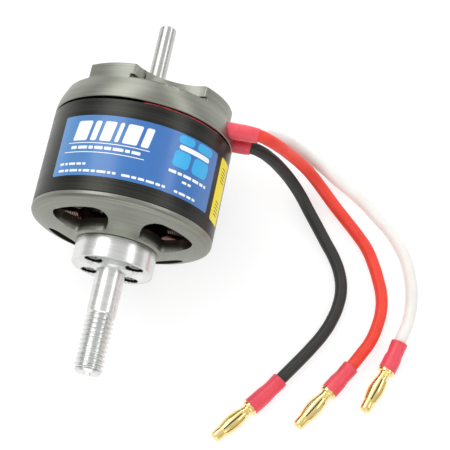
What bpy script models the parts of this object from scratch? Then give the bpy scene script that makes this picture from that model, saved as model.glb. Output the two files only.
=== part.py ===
"""Brushless outrunner motor, 63 mm, with a bolt-on propeller adapter and three bullet-plug leads.

It lies on its side: the shaft axis runs along Y, the propeller end points to -Y, and the leads
leave the mounting plate at +X and lie on the surface z = 0. Run it in Blender 4.5.
"""

import math

import bmesh
import bpy
from mathutils import Vector

MM = 0.001

# Stations along the shaft, from the middle of the motor, positive toward the propeller.
SHAFT_REAR = -64.5 * MM
PLATE_REAR = -36.0 * MM
SKIRT_REAR = -30.9 * MM
PLATE_FLOOR = -27.0 * MM
PLATE_FRONT = -22.3 * MM
RING_REAR = -21.4 * MM
RING_FRONT = 11.7 * MM
HUB_FACE = 20.0 * MM
COLLAR_FRONT = 27.9 * MM
SHANK_END = 43.6 * MM
THREAD_TIP = 64.5 * MM

# Radii of the main turned parts.
BODY_RADIUS = 31.5 * MM
PLATE_REAR_RADIUS = 29.1 * MM
SKIRT_INNER = 28.4 * MM
RING_INNER = 29.7 * MM
SHAFT_RADIUS = 3.0 * MM
SHAFT_BORE = 3.05 * MM
TUBE_OUTER = 8.5 * MM
TUBE_BORE = 6.6 * MM
COLLAR_RADIUS = 14.0 * MM
HUB_RADIUS = 14.6 * MM
SHANK_RADIUS = 5.0 * MM
EDGE = 0.4 * MM
SEAM = 0.1 * MM

# Facets round a turned part, by its size.
BODY_SIDES = 48
SMALL_SIDES = 24
SCREW_SIDES = 16

# Bearings, 6 x 15 x 5 mm.
BEARING_RADIUS = 7.5 * MM
BEARING_WIDTH = 5.0 * MM
SEAT_RADIUS = 7.55 * MM
INNER_RACE = 4.4 * MM
RACE_GROOVE = 6.4 * MM
RACE_LIP = 4.6 * MM
REAR_BEARING = -31.2 * MM
FRONT_BEARING = 5.4 * MM
TUBE_FRONT = 8.0 * MM
BALLS = 8
BALL_PITCH = 5.4 * MM
BALL_RADIUS = 0.85 * MM
CAGE_HALF_WIDTH = 0.8 * MM
CAGE_HALF_WALL = 0.3 * MM

# Mounting plate: four lobes left between round scallops, and the lead bores.
# Radius and station, in mm, along the plate's tapering outer side.
SHOULDER = (
    (31.45, -23.5), (31.3, -24.8), (31.0, -26.2), (30.55, -27.6),
    (30.0, -29.0), (29.5, -30.2), (29.2, -31.0), (29.1, -32.5),
)
SCALLOP_RADIUS = 17.8 * MM
SCALLOP_OFFSET = 38.7 * MM
SCALLOP_ANGLES = (18.3, 111.6, 198.3, 291.6)
RELIEVED_SCALLOPS = (18.3, 198.3)
RELIEF = 1.2 * MM
RELIEF_OVERLAP = 0.01 * MM
LOBE_ANGLES = (-25.0, 65.0, 155.0, 245.0)
MOUNT_HOLE_CIRCLE = 25.0 * MM
MOUNT_HOLE_RADIUS = 1.65 * MM
MOUNT_HOLE_DEPTH = 6.0 * MM

# Stator: 12 teeth, one coil on each.
TEETH = 12
CORE_MIDDLE = -6.5 * MM
CORE_LENGTH = 24.0 * MM
CORE_RADIUS = 26.6 * MM
CORE_BORE = 8.8 * MM
YOKE_RADIUS = 13.6 * MM
TOOTH_HALF = 2.2 * MM
TIP_THICKNESS = 1.8 * MM
SLOT_OPENING = 1.8 * MM
COIL_GAP = 0.3 * MM
COIL_THICKNESS = 1.5 * MM
COIL_OVERHANG = 5.0 * MM
COIL_INNER = 15.3 * MM
COIL_OUTER = 23.6 * MM
COIL_CORNER = 2.6 * MM
COIL_INNER_CORNER = 0.2 * MM

# Rotor: 14 magnets, a bell with four vents, and two set screws.
ROTOR_REST_ANGLE = 10.4
MAGNETS = 14
MAGNET_SPAN = 22.5
MAGNET_INNER = 27.1 * MM
MAGNET_OUTER = 29.5 * MM
MAGNET_LENGTH = 26.0 * MM
SPIGOT_OUTER = 29.55 * MM
SPIGOT_INNER = 28.0 * MM
SPIGOT_REAR = 8.8 * MM
BOSS_RADIUS = 7.5 * MM
BOSS_REAR = 8.6 * MM
BELL_CORNER = 3.0 * MM
WEB_REAR = 15.0 * MM
WEB_EDGE = 11.1 * MM
WEB_INNER = 15.0 * MM
VENT_CUT = (6.0 * MM, 24.0 * MM)
VENTS = 4
VENT_INNER = 15.4 * MM
VENT_OUTER = 26.4 * MM
SPOKE_HALF = 5.6 * MM
VENT_OUTER_CORNER = 4.5 * MM
VENT_INNER_CORNER = 2.0 * MM
SET_SCREW_STATION = 11.8 * MM
SET_SCREW_ANGLES = (45.0, 135.0)
SET_SCREW_HOLE = (1.55 * MM, 0.0, 9.0 * MM)
SET_SCREW_SPAN = (3.2 * MM, 7.2 * MM)
SET_SCREW_SOCKET = (0.8 * MM, 5.6 * MM, 8.0 * MM)

# Printed film round the flux ring.
FILM_INNER = 31.53 * MM
FILM_OUTER = 31.61 * MM
MAIN_LABEL = (-58.0, 53.0, -15.1 * MM, 6.6 * MM)
SIDE_LABEL = (59.0, 75.0, -15.6 * MM, 7.0 * MM)

# Shaft ends, its clip groove and the clip behind the rear bearing.
SHAFT_FRONT = 19.8 * MM
SHAFT_CHAMFER = 0.5 * MM
GROOVE_RADIUS = 2.6 * MM
GROOVE = (-35.7 * MM, -34.8 * MM)
CLIP = (-35.6 * MM, -34.9 * MM)
CLIP_RADII = (2.7 * MM, 5.0 * MM)
CLIP_ANGLES = (40.0, 320.0)

# Propeller adapter and its four M3 cap screws.
COLLAR_SCREWS = 4
COLLAR_SCREW_CIRCLE = 9.9 * MM
COUNTERBORE_RADIUS = 3.1 * MM
COUNTERBORE_FLOOR = 23.6 * MM
HEAD_RADIUS = 2.75 * MM
HEAD_FRONT = 26.7 * MM
SCREW_RADIUS = 1.45 * MM
SCREW_HOLE = 1.6 * MM
SCREW_TIP = 15.5 * MM
THREAD_PITCH = 1.65 * MM
THREAD_CRESTS = 12
THREAD_DEPTH = 0.85 * MM
TIP_CHAMFER = 1.0 * MM
SHANK_STEP = 0.5 * MM
SHANK_FILLET = 1.0 * MM
COLLAR_ROUND = 0.8 * MM
SOCKET_RADIUS = 1.45 * MM
SOCKET_DEPTH = 1.6 * MM
HEAD_BEVEL = 0.3 * MM
CENTRE_HOLE = (0.9 * MM, 62.5 * MM, 66.0 * MM)

# Leads: 12 AWG silicone wire, sleeves and bullet plugs 5.6 mm across their springs.
AXIS_HEIGHT = BODY_RADIUS
LEAD_RADIUS = 2.2 * MM
SLEEVE_RADIUS = 2.85 * MM
SLEEVE_START_X = 25.0 * MM
LEAD_BORE_MARGIN = 0.15 * MM
LEAD_BORE_REACH = (21.0 * MM, 34.0 * MM)
LEAD_BORE_SIDES = 32
PLUG_AXIS_HEIGHT = 3.2 * MM
PLUG_SLEEVE_RADIUS = 3.12 * MM
PLUG_SLEEVE_STEPS = 7
# The plug sleeve's radius as a share of its widest, at shares of its length.
PLUG_SLEEVE_SHAPE = ((0.0, 0.82), (0.42, 0.82), (0.6, 1.0), (1.0, 1.0))
SLEEVE_LIP = 0.3 * MM
PLUG_LENGTH = 17.1 * MM
PLUG_FLANGE = (2.95 * MM, 1.1 * MM)
PLUG_NECK = (2.0 * MM, 3.4 * MM)
PLUG_SPRING = (2.0 * MM, 2.8 * MM, 13.3 * MM)
PLUG_NOSE = 1.95 * MM
TOUCH = 0.3 * MM
STRAIGHT_END = 1.5 * MM
ROUTE_SPACING = 7.0 * MM

# Each lead: station and height of its exit, end of its exit sleeve, route points in mm from the
# exit sleeve to the plug sleeve, and the start, bend and front end of its plug sleeve.
LEADS = {
    "black": {
        "exit_y": 27.05 * MM,
        "exit_height": -4.6 * MM,
        "sleeve_end_x": 37.4 * MM,
        "route": (
            (41.1, 26.8, 25.6), (44.9, 26.5, 21.4), (48.7, 26.1, 15.2), (53.0, 24.4, 9.4),
            (57.3, 21.1, 5.2), (61.3, 16.6, 2.9), (65.4, 11.5, 2.2), (69.5, 6.1, 2.2),
            (73.5, 0.8, 2.2), (76.5, -4.8, 2.2), (78.0, -10.4, 2.2), (78.0, -16.0, 2.2),
            (76.8, -21.9, 2.2), (74.6, -27.7, 2.2), (71.3, -33.7, 2.2), (67.5, -39.8, 2.6),
        ),
        "sleeve": ((62.75, -47.15), (59.1, -52.9), (54.65, -58.55)),
    },
    "red": {
        "exit_y": 27.0 * MM,
        "exit_height": 7.7 * MM,
        "sleeve_end_x": 40.0 * MM,
        "route": (
            (43.4, 26.8, 37.6), (47.3, 27.2, 32.6), (51.1, 28.3, 24.6), (55.1, 29.0, 16.6),
            (59.6, 28.1, 10.0), (64.7, 25.0, 5.2), (69.9, 20.6, 2.9), (75.1, 16.0, 2.2),
            (80.1, 11.3, 2.2), (84.6, 6.4, 2.2), (87.9, 1.0, 2.2), (90.4, -4.2, 2.2),
            (92.4, -9.4, 2.2), (93.3, -15.0, 2.2), (92.9, -21.0, 2.2), (91.5, -27.0, 2.2),
            (89.1, -32.2, 2.6),
        ),
        "sleeve": ((86.2, -37.8), (82.9, -43.5), (80.3, -47.8)),
    },
    "white": {
        "exit_y": 29.6 * MM,
        "exit_height": 1.7 * MM,
        "sleeve_end_x": 37.5 * MM,
        "route": (
            (42.0, 31.8, 30.4), (46.4, 34.9, 21.6), (51.5, 36.1, 14.6), (57.5, 35.4, 8.6),
            (63.4, 33.6, 4.6), (69.2, 30.6, 2.6), (75.1, 27.3, 2.2), (80.8, 23.5, 2.2),
            (86.1, 19.2, 2.2), (91.2, 15.0, 2.2), (95.4, 10.3, 2.2), (98.8, 5.3, 2.2),
            (101.1, -0.1, 2.2), (102.8, -6.0, 2.2), (103.5, -12.2, 2.2), (103.2, -18.4, 2.5),
        ),
        "sleeve": ((101.5, -25.9), (100.3, -32.0), (98.8, -36.4)),
    },
}


def clear_scene():
    for obj in list(bpy.data.objects):
        bpy.data.objects.remove(obj, do_unlink=True)


def make_collections():
    motor = bpy.data.collections.new("brushless_outrunner_motor")
    cutters = bpy.data.collections.new("cutters")
    cutters.hide_render = True
    bpy.context.scene.collection.children.link(motor)
    bpy.context.scene.collection.children.link(cutters)
    return motor, cutters


clear_scene()
MOTOR, CUTTERS = make_collections()


def material(name, colour, roughness, metallic=0.0):
    made = bpy.data.materials.new(name)
    made.use_nodes = True
    shader = made.node_tree.nodes["Principled BSDF"]
    shader.inputs["Base Color"].default_value = (*colour, 1.0)
    shader.inputs["Roughness"].default_value = roughness
    shader.inputs["Metallic"].default_value = metallic
    return made


TITANIUM = material("titanium_anodised", (0.30, 0.30, 0.28), 0.34, 1.0)
SMOKED_STEEL = material("smoked_steel", (0.07, 0.07, 0.065), 0.38, 1.0)
BRIGHT_ALUMINIUM = material("bright_aluminium", (0.86, 0.86, 0.85), 0.22, 1.0)
STEEL = material("ground_steel", (0.72, 0.72, 0.71), 0.18, 1.0)
BLACK_STEEL = material("black_oxide_steel", (0.06, 0.06, 0.06), 0.4, 1.0)
LAMINATION = material("lamination_steel", (0.12, 0.12, 0.11), 0.5, 0.6)
ENAMEL = material("enamelled_copper", (0.55, 0.08, 0.03), 0.3, 0.7)
NICKEL = material("nickel_plate", (0.62, 0.60, 0.56), 0.3, 1.0)
GOLD = material("gold_plate", (0.95, 0.68, 0.22), 0.2, 1.0)
BLUE_FILM = material("blue_film", (0.05, 0.17, 0.55), 0.3)
YELLOW_FILM = material("yellow_film", (0.90, 0.78, 0.05), 0.35)
SHRINK = material("heat_shrink_red", (0.72, 0.04, 0.10), 0.45)
SILICONE = {
    "black": material("silicone_black", (0.02, 0.02, 0.02), 0.5),
    "red": material("silicone_red", (0.80, 0.05, 0.03), 0.45),
    "white": material("silicone_white", (0.85, 0.84, 0.81), 0.5),
}


def make_empty(name, parent=None, location=(0, 0, 0), rotation=(0, 0, 0)):
    empty = bpy.data.objects.new(name, None)
    empty.location = location
    empty.rotation_euler = rotation
    empty.parent = parent
    MOTOR.objects.link(empty)
    return empty


# Local +Z of this frame points along the shaft toward the propeller, local +Y points up.
SHAFT_FRAME = make_empty("shaft_frame", None, (0, 0, AXIS_HEIGHT), (math.pi / 2, 0, 0))
# The angles of the rotor and plate are clockwise from the top, seen from the propeller.
ROTOR_FRAME = make_empty(
    "rotor_frame", SHAFT_FRAME, rotation=(0, 0, -math.radians(ROTOR_REST_ANGLE))
)


def link(obj, finish, parent):
    obj.data.materials.append(finish)
    obj.parent = parent
    MOTOR.objects.link(obj)
    return obj


def smooth(mesh, angle=35.0):
    mesh.shade_smooth()
    mesh.set_sharp_from_angle(angle=math.radians(angle))


def arc(centre, radius, start, end, steps):
    """Points (radius, station) of a fillet, from angle start to end in degrees."""
    points = []
    for i in range(steps + 1):
        angle = math.radians(start + (end - start) * i / steps)
        points.append(
            (centre[0] + radius * math.cos(angle), centre[1] + radius * math.sin(angle))
        )
    return points


def polar(radius, degrees):
    """A point across the shaft, its angle clockwise from the top, seen from the propeller."""
    return (
        radius * math.sin(math.radians(degrees)),
        radius * math.cos(math.radians(degrees)),
    )


def profile_mesh(name, profile, closed):
    mesh = bpy.data.meshes.new(name)
    count = len(profile)
    edges = [(i, i + 1) for i in range(count - 1)]
    if closed:
        edges.append((count - 1, 0))
    mesh.from_pydata([(radius, 0.0, z) for radius, z in profile], edges, [])
    return mesh


def turned(name, profile, finish, parent, closed=False, sides=BODY_SIDES):
    """A solid of revolution about local Z. The profile runs down its outer side first."""
    obj = bpy.data.objects.new(name, profile_mesh(name, profile, closed))
    screw = obj.modifiers.new("turn", "SCREW")
    screw.axis = "Z"
    screw.angle = math.tau
    screw.steps = sides
    screw.render_steps = sides
    screw.use_merge_vertices = True
    screw.merge_threshold = 0.00001
    screw.use_smooth_shade = False
    return link(obj, finish, parent)


def outline_curve(name, outlines, low, high):
    """Closed outlines in local XY, filled and extruded from station low to high."""
    curve = bpy.data.curves.new(name, "CURVE")
    curve.dimensions = "2D"
    curve.fill_mode = "BOTH"
    curve.extrude = (high - low) / 2
    for outline in outlines:
        spline = curve.splines.new("POLY")
        spline.points.add(len(outline) - 1)
        for point, (x, y) in zip(spline.points, outline):
            point.co = (x, y, 0.0, 1.0)
        spline.use_cyclic_u = True
    obj = bpy.data.objects.new(name, curve)
    obj.location.z = (high + low) / 2
    return obj


def extruded(name, outlines, low, high, finish, parent):
    return link(outline_curve(name, outlines, low, high), finish, parent)


def arc_band(name, radii, angles, stations, steps, finish, parent):
    """A curved plate between two radii, two angles in degrees and two stations."""
    turns = [angles[0] + (angles[1] - angles[0]) * i / steps for i in range(steps + 1)]
    outline = [polar(radii[1], a) for a in turns]
    outline += [polar(radii[0], a) for a in reversed(turns)]
    return extruded(name, [outline], stations[0], stations[1], finish, parent)


def as_mesh(obj):
    """A mesh copy of a curve object, its caps welded, in the curve's place."""
    graph = bpy.context.evaluated_depsgraph_get()
    mesh = bpy.data.meshes.new_from_object(obj.evaluated_get(graph))
    shape = bmesh.new()
    shape.from_mesh(mesh)
    bmesh.ops.remove_doubles(shape, verts=shape.verts, dist=0.000001)
    bmesh.ops.recalc_face_normals(shape, faces=shape.faces)
    shape.to_mesh(mesh)
    shape.free()
    return mesh


def cutter(name, data, parent, location=(0, 0, 0), rotation=(0, 0, 0)):
    obj = bpy.data.objects.new(name, data)
    obj.parent = parent
    obj.location = location
    obj.rotation_euler = rotation
    obj.display_type = "WIRE"
    obj.hide_render = True
    CUTTERS.objects.link(obj)
    return obj


def outline_cutter(name, outlines, low, high, parent):
    curve = outline_curve(name + "_outline", outlines, low, high)
    CUTTERS.objects.link(curve)
    bpy.context.view_layer.update()
    made = cutter(name, as_mesh(curve), parent, tuple(curve.location))
    bpy.data.objects.remove(curve, do_unlink=True)
    return made


def rod_mesh(name, radius, low, high, sides):
    """A closed cylinder along local Z from low to high."""
    mesh = bpy.data.meshes.new(name)
    shape = bmesh.new()
    bmesh.ops.create_cone(
        shape,
        cap_ends=True,
        segments=sides,
        radius1=radius,
        radius2=radius,
        depth=high - low,
    )
    bmesh.ops.translate(shape, verts=shape.verts, vec=(0, 0, (high + low) / 2))
    shape.to_mesh(mesh)
    shape.free()
    return mesh


def rod_cutter(name, radius, low, high, place, parent, sides=SCREW_SIDES, rotation=(0, 0, 0)):
    mesh = rod_mesh(name, radius, low, high, sides)
    return cutter(name, mesh, parent, (place[0], place[1], 0.0), rotation)


def box_cutter(name, low, high, parent, rotation=(0, 0, 0)):
    mesh = bpy.data.meshes.new(name)
    shape = bmesh.new()
    bmesh.ops.create_cube(shape, size=1.0)
    size = Vector(high) - Vector(low)
    bmesh.ops.scale(shape, verts=shape.verts, vec=size)
    bmesh.ops.translate(shape, verts=shape.verts, vec=(Vector(high) + Vector(low)) / 2)
    shape.to_mesh(mesh)
    shape.free()
    return cutter(name, mesh, parent, rotation=rotation)


def cut(obj, *cutters):
    for tool in cutters:
        boolean = obj.modifiers.new(tool.name, "BOOLEAN")
        boolean.operation = "DIFFERENCE"
        boolean.solver = "EXACT"
        boolean.object = tool


# ---------------------------------------------------------------- stator


def lead_bore(colour, lead, parent):
    """The round opening through the plate's skirt for one lead's sleeve."""
    name = f"{colour}_lead_bore"
    low, high = LEAD_BORE_REACH
    mesh = rod_mesh(name, SLEEVE_RADIUS + LEAD_BORE_MARGIN, low, high, LEAD_BORE_SIDES)
    place = (0.0, lead["exit_height"], -lead["exit_y"])
    return cutter(name, mesh, parent, place, (0, math.pi / 2, 0))


def make_mount_plate():
    profile = [
        (BODY_RADIUS - EDGE / 2, PLATE_FRONT),
        (BODY_RADIUS, PLATE_FRONT - EDGE / 2),
        *((radius * MM, station * MM) for radius, station in SHOULDER),
        (PLATE_REAR_RADIUS, PLATE_REAR + EDGE),
        (PLATE_REAR_RADIUS - EDGE, PLATE_REAR),
        (SEAT_RADIUS + EDGE, PLATE_REAR),
        (SEAT_RADIUS, PLATE_REAR + EDGE),
        (SEAT_RADIUS, REAR_BEARING + BEARING_WIDTH / 2 + SEAM),
        (TUBE_BORE, REAR_BEARING + BEARING_WIDTH / 2 + SEAM),
        (TUBE_BORE, FRONT_BEARING - BEARING_WIDTH / 2 - SEAM),
        (SEAT_RADIUS, FRONT_BEARING - BEARING_WIDTH / 2 - SEAM),
        (SEAT_RADIUS, TUBE_FRONT),
        (TUBE_OUTER, TUBE_FRONT),
        (TUBE_OUTER, PLATE_FLOOR),
        (SKIRT_INNER, PLATE_FLOOR),
        (SKIRT_INNER, PLATE_FRONT),
    ]
    plate = turned("mount_plate", profile, TITANIUM, SHAFT_FRAME, closed=True)
    for i, angle in enumerate(SCALLOP_ANGLES):
        place = polar(SCALLOP_OFFSET, angle)
        wall = rod_cutter(
            f"scallop_{i}", SCALLOP_RADIUS, PLATE_REAR - MM, SKIRT_REAR, place, SHAFT_FRAME,
            BODY_SIDES,
        )
        cut(plate, wall)
    for i, angle in enumerate(RELIEVED_SCALLOPS):
        relief = rod_cutter(
            f"scallop_relief_{i}",
            SCALLOP_RADIUS + RELIEF,
            SKIRT_REAR - RELIEF,
            SKIRT_REAR + RELIEF_OVERLAP,
            polar(SCALLOP_OFFSET, angle),
            SHAFT_FRAME,
            BODY_SIDES,
        )
        cut(plate, relief)
    for i, angle in enumerate(LOBE_ANGLES):
        place = polar(MOUNT_HOLE_CIRCLE, angle)
        top = PLATE_REAR + MOUNT_HOLE_DEPTH
        hole = rod_cutter(
            f"mount_hole_{i}", MOUNT_HOLE_RADIUS, PLATE_REAR - MM, top, place, SHAFT_FRAME
        )
        cut(plate, hole)
    cut(plate, *(lead_bore(colour, lead, SHAFT_FRAME) for colour, lead in LEADS.items()))


def core_outline():
    """The laminated core across the shaft: a yoke ring, twelve teeth and their wide tips."""
    pitch = 360.0 / TEETH
    tip_half = pitch / 2 - math.degrees(SLOT_OPENING / 2 / CORE_RADIUS)
    under = CORE_RADIUS - TIP_THICKNESS
    neck = math.degrees(math.asin(TOOTH_HALF / under))
    foot = math.degrees(math.asin(TOOTH_HALF / YOKE_RADIUS))
    outline = []
    for i in range(TEETH):
        middle = pitch * i
        outline.append(polar(YOKE_RADIUS, middle - foot))
        outline.append(polar(under - TIP_THICKNESS / 2, middle - neck))
        outline.append(polar(CORE_RADIUS - TIP_THICKNESS / 2, middle - tip_half))
        for step in (-1.0, -0.33, 0.33, 1.0):
            outline.append(polar(CORE_RADIUS, middle + step * tip_half))
        outline.append(polar(CORE_RADIUS - TIP_THICKNESS / 2, middle + tip_half))
        outline.append(polar(under - TIP_THICKNESS / 2, middle + neck))
        outline.append(polar(YOKE_RADIUS, middle + foot))
    return outline


def make_stator_core():
    bore = [polar(CORE_BORE, 360.0 * i / 48) for i in range(48)]
    low = CORE_MIDDLE - CORE_LENGTH / 2
    high = CORE_MIDDLE + CORE_LENGTH / 2
    extruded("stator_core", [core_outline(), bore], low, high, LAMINATION, SHAFT_FRAME)


def rounded_rectangle(half_width, half_height, corner, steps):
    """Points of a rounded rectangle about the origin, counterclockwise."""
    points = []
    for x, y, start in ((1, 1, 0), (-1, 1, 90), (-1, -1, 180), (1, -1, 270)):
        middle = (x * (half_width - corner), y * (half_height - corner))
        points += arc(middle, corner, start, start + 90, steps)
    return points


def make_coils():
    """Each coil is a rounded ring round its tooth, extruded outward along the tooth."""
    inner = (TOOTH_HALF + COIL_GAP, CORE_LENGTH / 2 + COIL_GAP)
    outer = (inner[0] + COIL_THICKNESS, inner[1] + COIL_OVERHANG)
    ring = [
        rounded_rectangle(outer[0], outer[1], COIL_CORNER, 2),
        rounded_rectangle(inner[0], inner[1], COIL_INNER_CORNER, 1),
    ]
    for i in range(TEETH):
        turn = make_empty(
            f"tooth_{i + 1}", SHAFT_FRAME, rotation=(0, 0, -math.tau * i / TEETH)
        )
        coil = extruded(
            f"stator_coil_{i + 1:02d}", ring, COIL_INNER, COIL_OUTER, ENAMEL, turn
        )
        coil.rotation_euler = (-math.pi / 2, 0, 0)
        coil.location = (0, (COIL_INNER + COIL_OUTER) / 2, CORE_MIDDLE)


def make_bearing(which, middle):
    half = BEARING_WIDTH / 2
    shield = 0.3 * MM
    outer = [
        (BEARING_RADIUS, half - shield),
        (BEARING_RADIUS, shield - half),
        (BEARING_RADIUS - shield, -half),
        (RACE_LIP, -half),
        (RACE_LIP, shield - half),
        (RACE_GROOVE, shield - half),
        (RACE_GROOVE, half - shield),
        (RACE_LIP, half - shield),
        (RACE_LIP, half),
        (BEARING_RADIUS - shield, half),
    ]
    inner = [(INNER_RACE, half), (INNER_RACE, -half), (SHAFT_BORE, -half), (SHAFT_BORE, half)]
    for name, profile, parent in (
        (f"{which}_bearing_outer_race", outer, SHAFT_FRAME),
        (f"{which}_bearing_inner_race", inner, ROTOR_FRAME),
    ):
        ring = turned(name, profile, STEEL, parent, closed=True, sides=SMALL_SIDES)
        ring.location.z = middle
    make_ball_cage(which, middle)


def make_ball_cage(which, middle):
    profile = [
        (BALL_PITCH + CAGE_HALF_WALL, CAGE_HALF_WIDTH),
        (BALL_PITCH + CAGE_HALF_WALL, -CAGE_HALF_WIDTH),
        (BALL_PITCH - CAGE_HALF_WALL, -CAGE_HALF_WIDTH),
        (BALL_PITCH - CAGE_HALF_WALL, CAGE_HALF_WIDTH),
    ]
    name = f"{which}_bearing_ball_cage"
    cage = turned(name, profile, STEEL, SHAFT_FRAME, closed=True, sides=SCREW_SIDES)
    cage.location.z = middle
    mesh = bpy.data.meshes.new(f"{which}_balls")
    shape = bmesh.new()
    for i in range(BALLS):
        made = bmesh.ops.create_uvsphere(shape, u_segments=6, v_segments=4, radius=BALL_RADIUS)
        x, y = polar(BALL_PITCH, 360.0 * i / BALLS)
        bmesh.ops.translate(shape, verts=made["verts"], vec=(x, y, 0))
    shape.to_mesh(mesh)
    shape.free()
    balls = cutter(f"{which}_balls", mesh, SHAFT_FRAME, (0, 0, middle))
    join = cage.modifiers.new("balls", "BOOLEAN")
    join.operation = "UNION"
    join.solver = "EXACT"
    join.object = balls


# ---------------------------------------------------------------- rotor


def make_flux_ring():
    profile = [
        (BODY_RADIUS - EDGE / 2, RING_FRONT),
        (BODY_RADIUS, RING_FRONT - EDGE / 2),
        (BODY_RADIUS, RING_REAR + EDGE / 2),
        (BODY_RADIUS - EDGE / 2, RING_REAR),
        (RING_INNER, RING_REAR),
        (RING_INNER, RING_FRONT),
    ]
    turned("flux_ring", profile, SMOKED_STEEL, ROTOR_FRAME, closed=True)


def make_magnets():
    low = CORE_MIDDLE - MAGNET_LENGTH / 2
    high = CORE_MIDDLE + MAGNET_LENGTH / 2
    for i in range(MAGNETS):
        middle = 360.0 * i / MAGNETS
        span = (middle - MAGNET_SPAN / 2, middle + MAGNET_SPAN / 2)
        name = f"rotor_magnet_{i + 1:02d}"
        arc_band(name, (MAGNET_INNER, MAGNET_OUTER), span, (low, high), 3, NICKEL, ROTOR_FRAME)


def spoke_corner(radius, fillet, outward):
    """Fillet between a vent's round edge and a spoke's side: its centre's polar angle from the
    spoke's middle line, and how far along that line it touches the side."""
    reach = radius - fillet if outward else radius + fillet
    offset = SPOKE_HALF + fillet
    return reach, math.degrees(math.asin(offset / reach)), math.sqrt(reach**2 - offset**2)


def half_vent(side, spoke):
    """One half of a vent's outline, from the middle of its outer edge to that of its inner."""
    reach_out, angle_out, along_out = spoke_corner(VENT_OUTER, VENT_OUTER_CORNER, True)
    reach_in, angle_in, along_in = spoke_corner(VENT_INNER, VENT_INNER_CORNER, False)
    points = [polar(VENT_OUTER, side * t * (spoke - angle_out)) for t in (0.0, 0.33, 0.67)]
    centre = polar(reach_out, side * (spoke - angle_out))
    for t in (0.0, 0.25, 0.5, 0.75, 1.0):
        turn = spoke - angle_out + t * (90.0 + angle_out)
        dx, dy = polar(VENT_OUTER_CORNER, side * turn)
        points.append((centre[0] + dx, centre[1] + dy))
    centre = polar(reach_in, side * (spoke - angle_in))
    for t in (0.0, 0.33, 0.67, 1.0):
        turn = spoke + 90.0 + t * (90.0 - angle_in)
        dx, dy = polar(VENT_INNER_CORNER, side * turn)
        points.append((centre[0] + dx, centre[1] + dy))
    points += [polar(VENT_INNER, side * t * (spoke - angle_in)) for t in (0.5, 0.0)]
    return points


def vent_outline(middle):
    spoke = 180.0 / VENTS
    right = half_vent(1, spoke)
    left = half_vent(-1, spoke)
    outline = right + left[-2:0:-1]
    turn = -math.radians(middle)
    return [
        (x * math.cos(turn) - y * math.sin(turn), x * math.sin(turn) + y * math.cos(turn))
        for x, y in outline
    ]


def bell_profile():
    slope_start = (HUB_RADIUS + 0.4 * MM, HUB_FACE - 0.3 * MM)
    corner = arc((BODY_RADIUS - BELL_CORNER, RING_FRONT + SEAM), BELL_CORNER, 69, 0, 3)
    return [
        (HUB_RADIUS, HUB_FACE),
        slope_start,
        *corner,
        (SPIGOT_OUTER, RING_FRONT + SEAM),
        (SPIGOT_OUTER, SPIGOT_REAR),
        (SPIGOT_INNER, SPIGOT_REAR),
        (SPIGOT_INNER, WEB_EDGE),
        (WEB_INNER, WEB_REAR),
        (BOSS_RADIUS, WEB_REAR),
        (BOSS_RADIUS, BOSS_REAR),
        (INNER_RACE - 0.1 * MM, BOSS_REAR),
        (INNER_RACE - 0.1 * MM, BOSS_REAR - EDGE),
        (SHAFT_BORE, BOSS_REAR - EDGE),
        (SHAFT_BORE, HUB_FACE),
    ]


def make_bell_end():
    bell = turned("bell_end", bell_profile(), TITANIUM, ROTOR_FRAME, closed=True)
    for i in range(VENTS):
        outline = vent_outline(45.0 + 360.0 * i / VENTS)
        cut(bell, outline_cutter(f"vent_{i}", [outline], *VENT_CUT, ROTOR_FRAME))
    for i in range(COLLAR_SCREWS):
        hole = rod_cutter(
            f"hub_screw_hole_{i}", SCREW_HOLE, WEB_REAR - MM, HUB_FACE + MM,
            collar_screw_place(i), ROTOR_FRAME,
        )
        cut(bell, hole)
    for i, angle in enumerate(SET_SCREW_ANGLES):
        hole = rod_cutter(
            f"set_screw_hole_{i}", *SET_SCREW_HOLE, (0, 0), ROTOR_FRAME,
            rotation=(-math.pi / 2, 0, -math.radians(angle)),
        )
        hole.location.z = SET_SCREW_STATION
        cut(bell, hole)


def make_set_screws():
    tip, end = SET_SCREW_SPAN
    bevel = 0.3 * MM
    profile = [
        (0.0, end),
        (SCREW_RADIUS - bevel, end),
        (SCREW_RADIUS, end - bevel),
        (SCREW_RADIUS, tip + bevel),
        (SCREW_RADIUS - bevel, tip),
        (0.0, tip),
    ]
    for i, angle in enumerate(SET_SCREW_ANGLES):
        screw = turned(f"bell_set_screw_{i + 1}", profile, BLACK_STEEL, ROTOR_FRAME, sides=12)
        screw.rotation_euler = (-math.pi / 2, 0, -math.radians(angle))
        screw.location.z = SET_SCREW_STATION
        socket = cutter(
            f"set_screw_socket_{i}",
            rod_mesh(f"set_screw_socket_{i}", *SET_SCREW_SOCKET, 6),
            ROTOR_FRAME,
            (0, 0, SET_SCREW_STATION),
            (-math.pi / 2, 0, -math.radians(angle)),
        )
        cut(screw, socket)


def make_shaft():
    profile = [
        (0.0, SHAFT_FRONT),
        (SHAFT_RADIUS - SHAFT_CHAMFER, SHAFT_FRONT),
        (SHAFT_RADIUS, SHAFT_FRONT - SHAFT_CHAMFER),
        (SHAFT_RADIUS, GROOVE[1]),
        (GROOVE_RADIUS, GROOVE[1]),
        (GROOVE_RADIUS, GROOVE[0]),
        (SHAFT_RADIUS, GROOVE[0]),
        (SHAFT_RADIUS, SHAFT_REAR + SHAFT_CHAMFER),
        (SHAFT_RADIUS - SHAFT_CHAMFER, SHAFT_REAR),
        (0.0, SHAFT_REAR),
    ]
    turned("motor_shaft", profile, STEEL, ROTOR_FRAME, sides=SMALL_SIDES)


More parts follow.
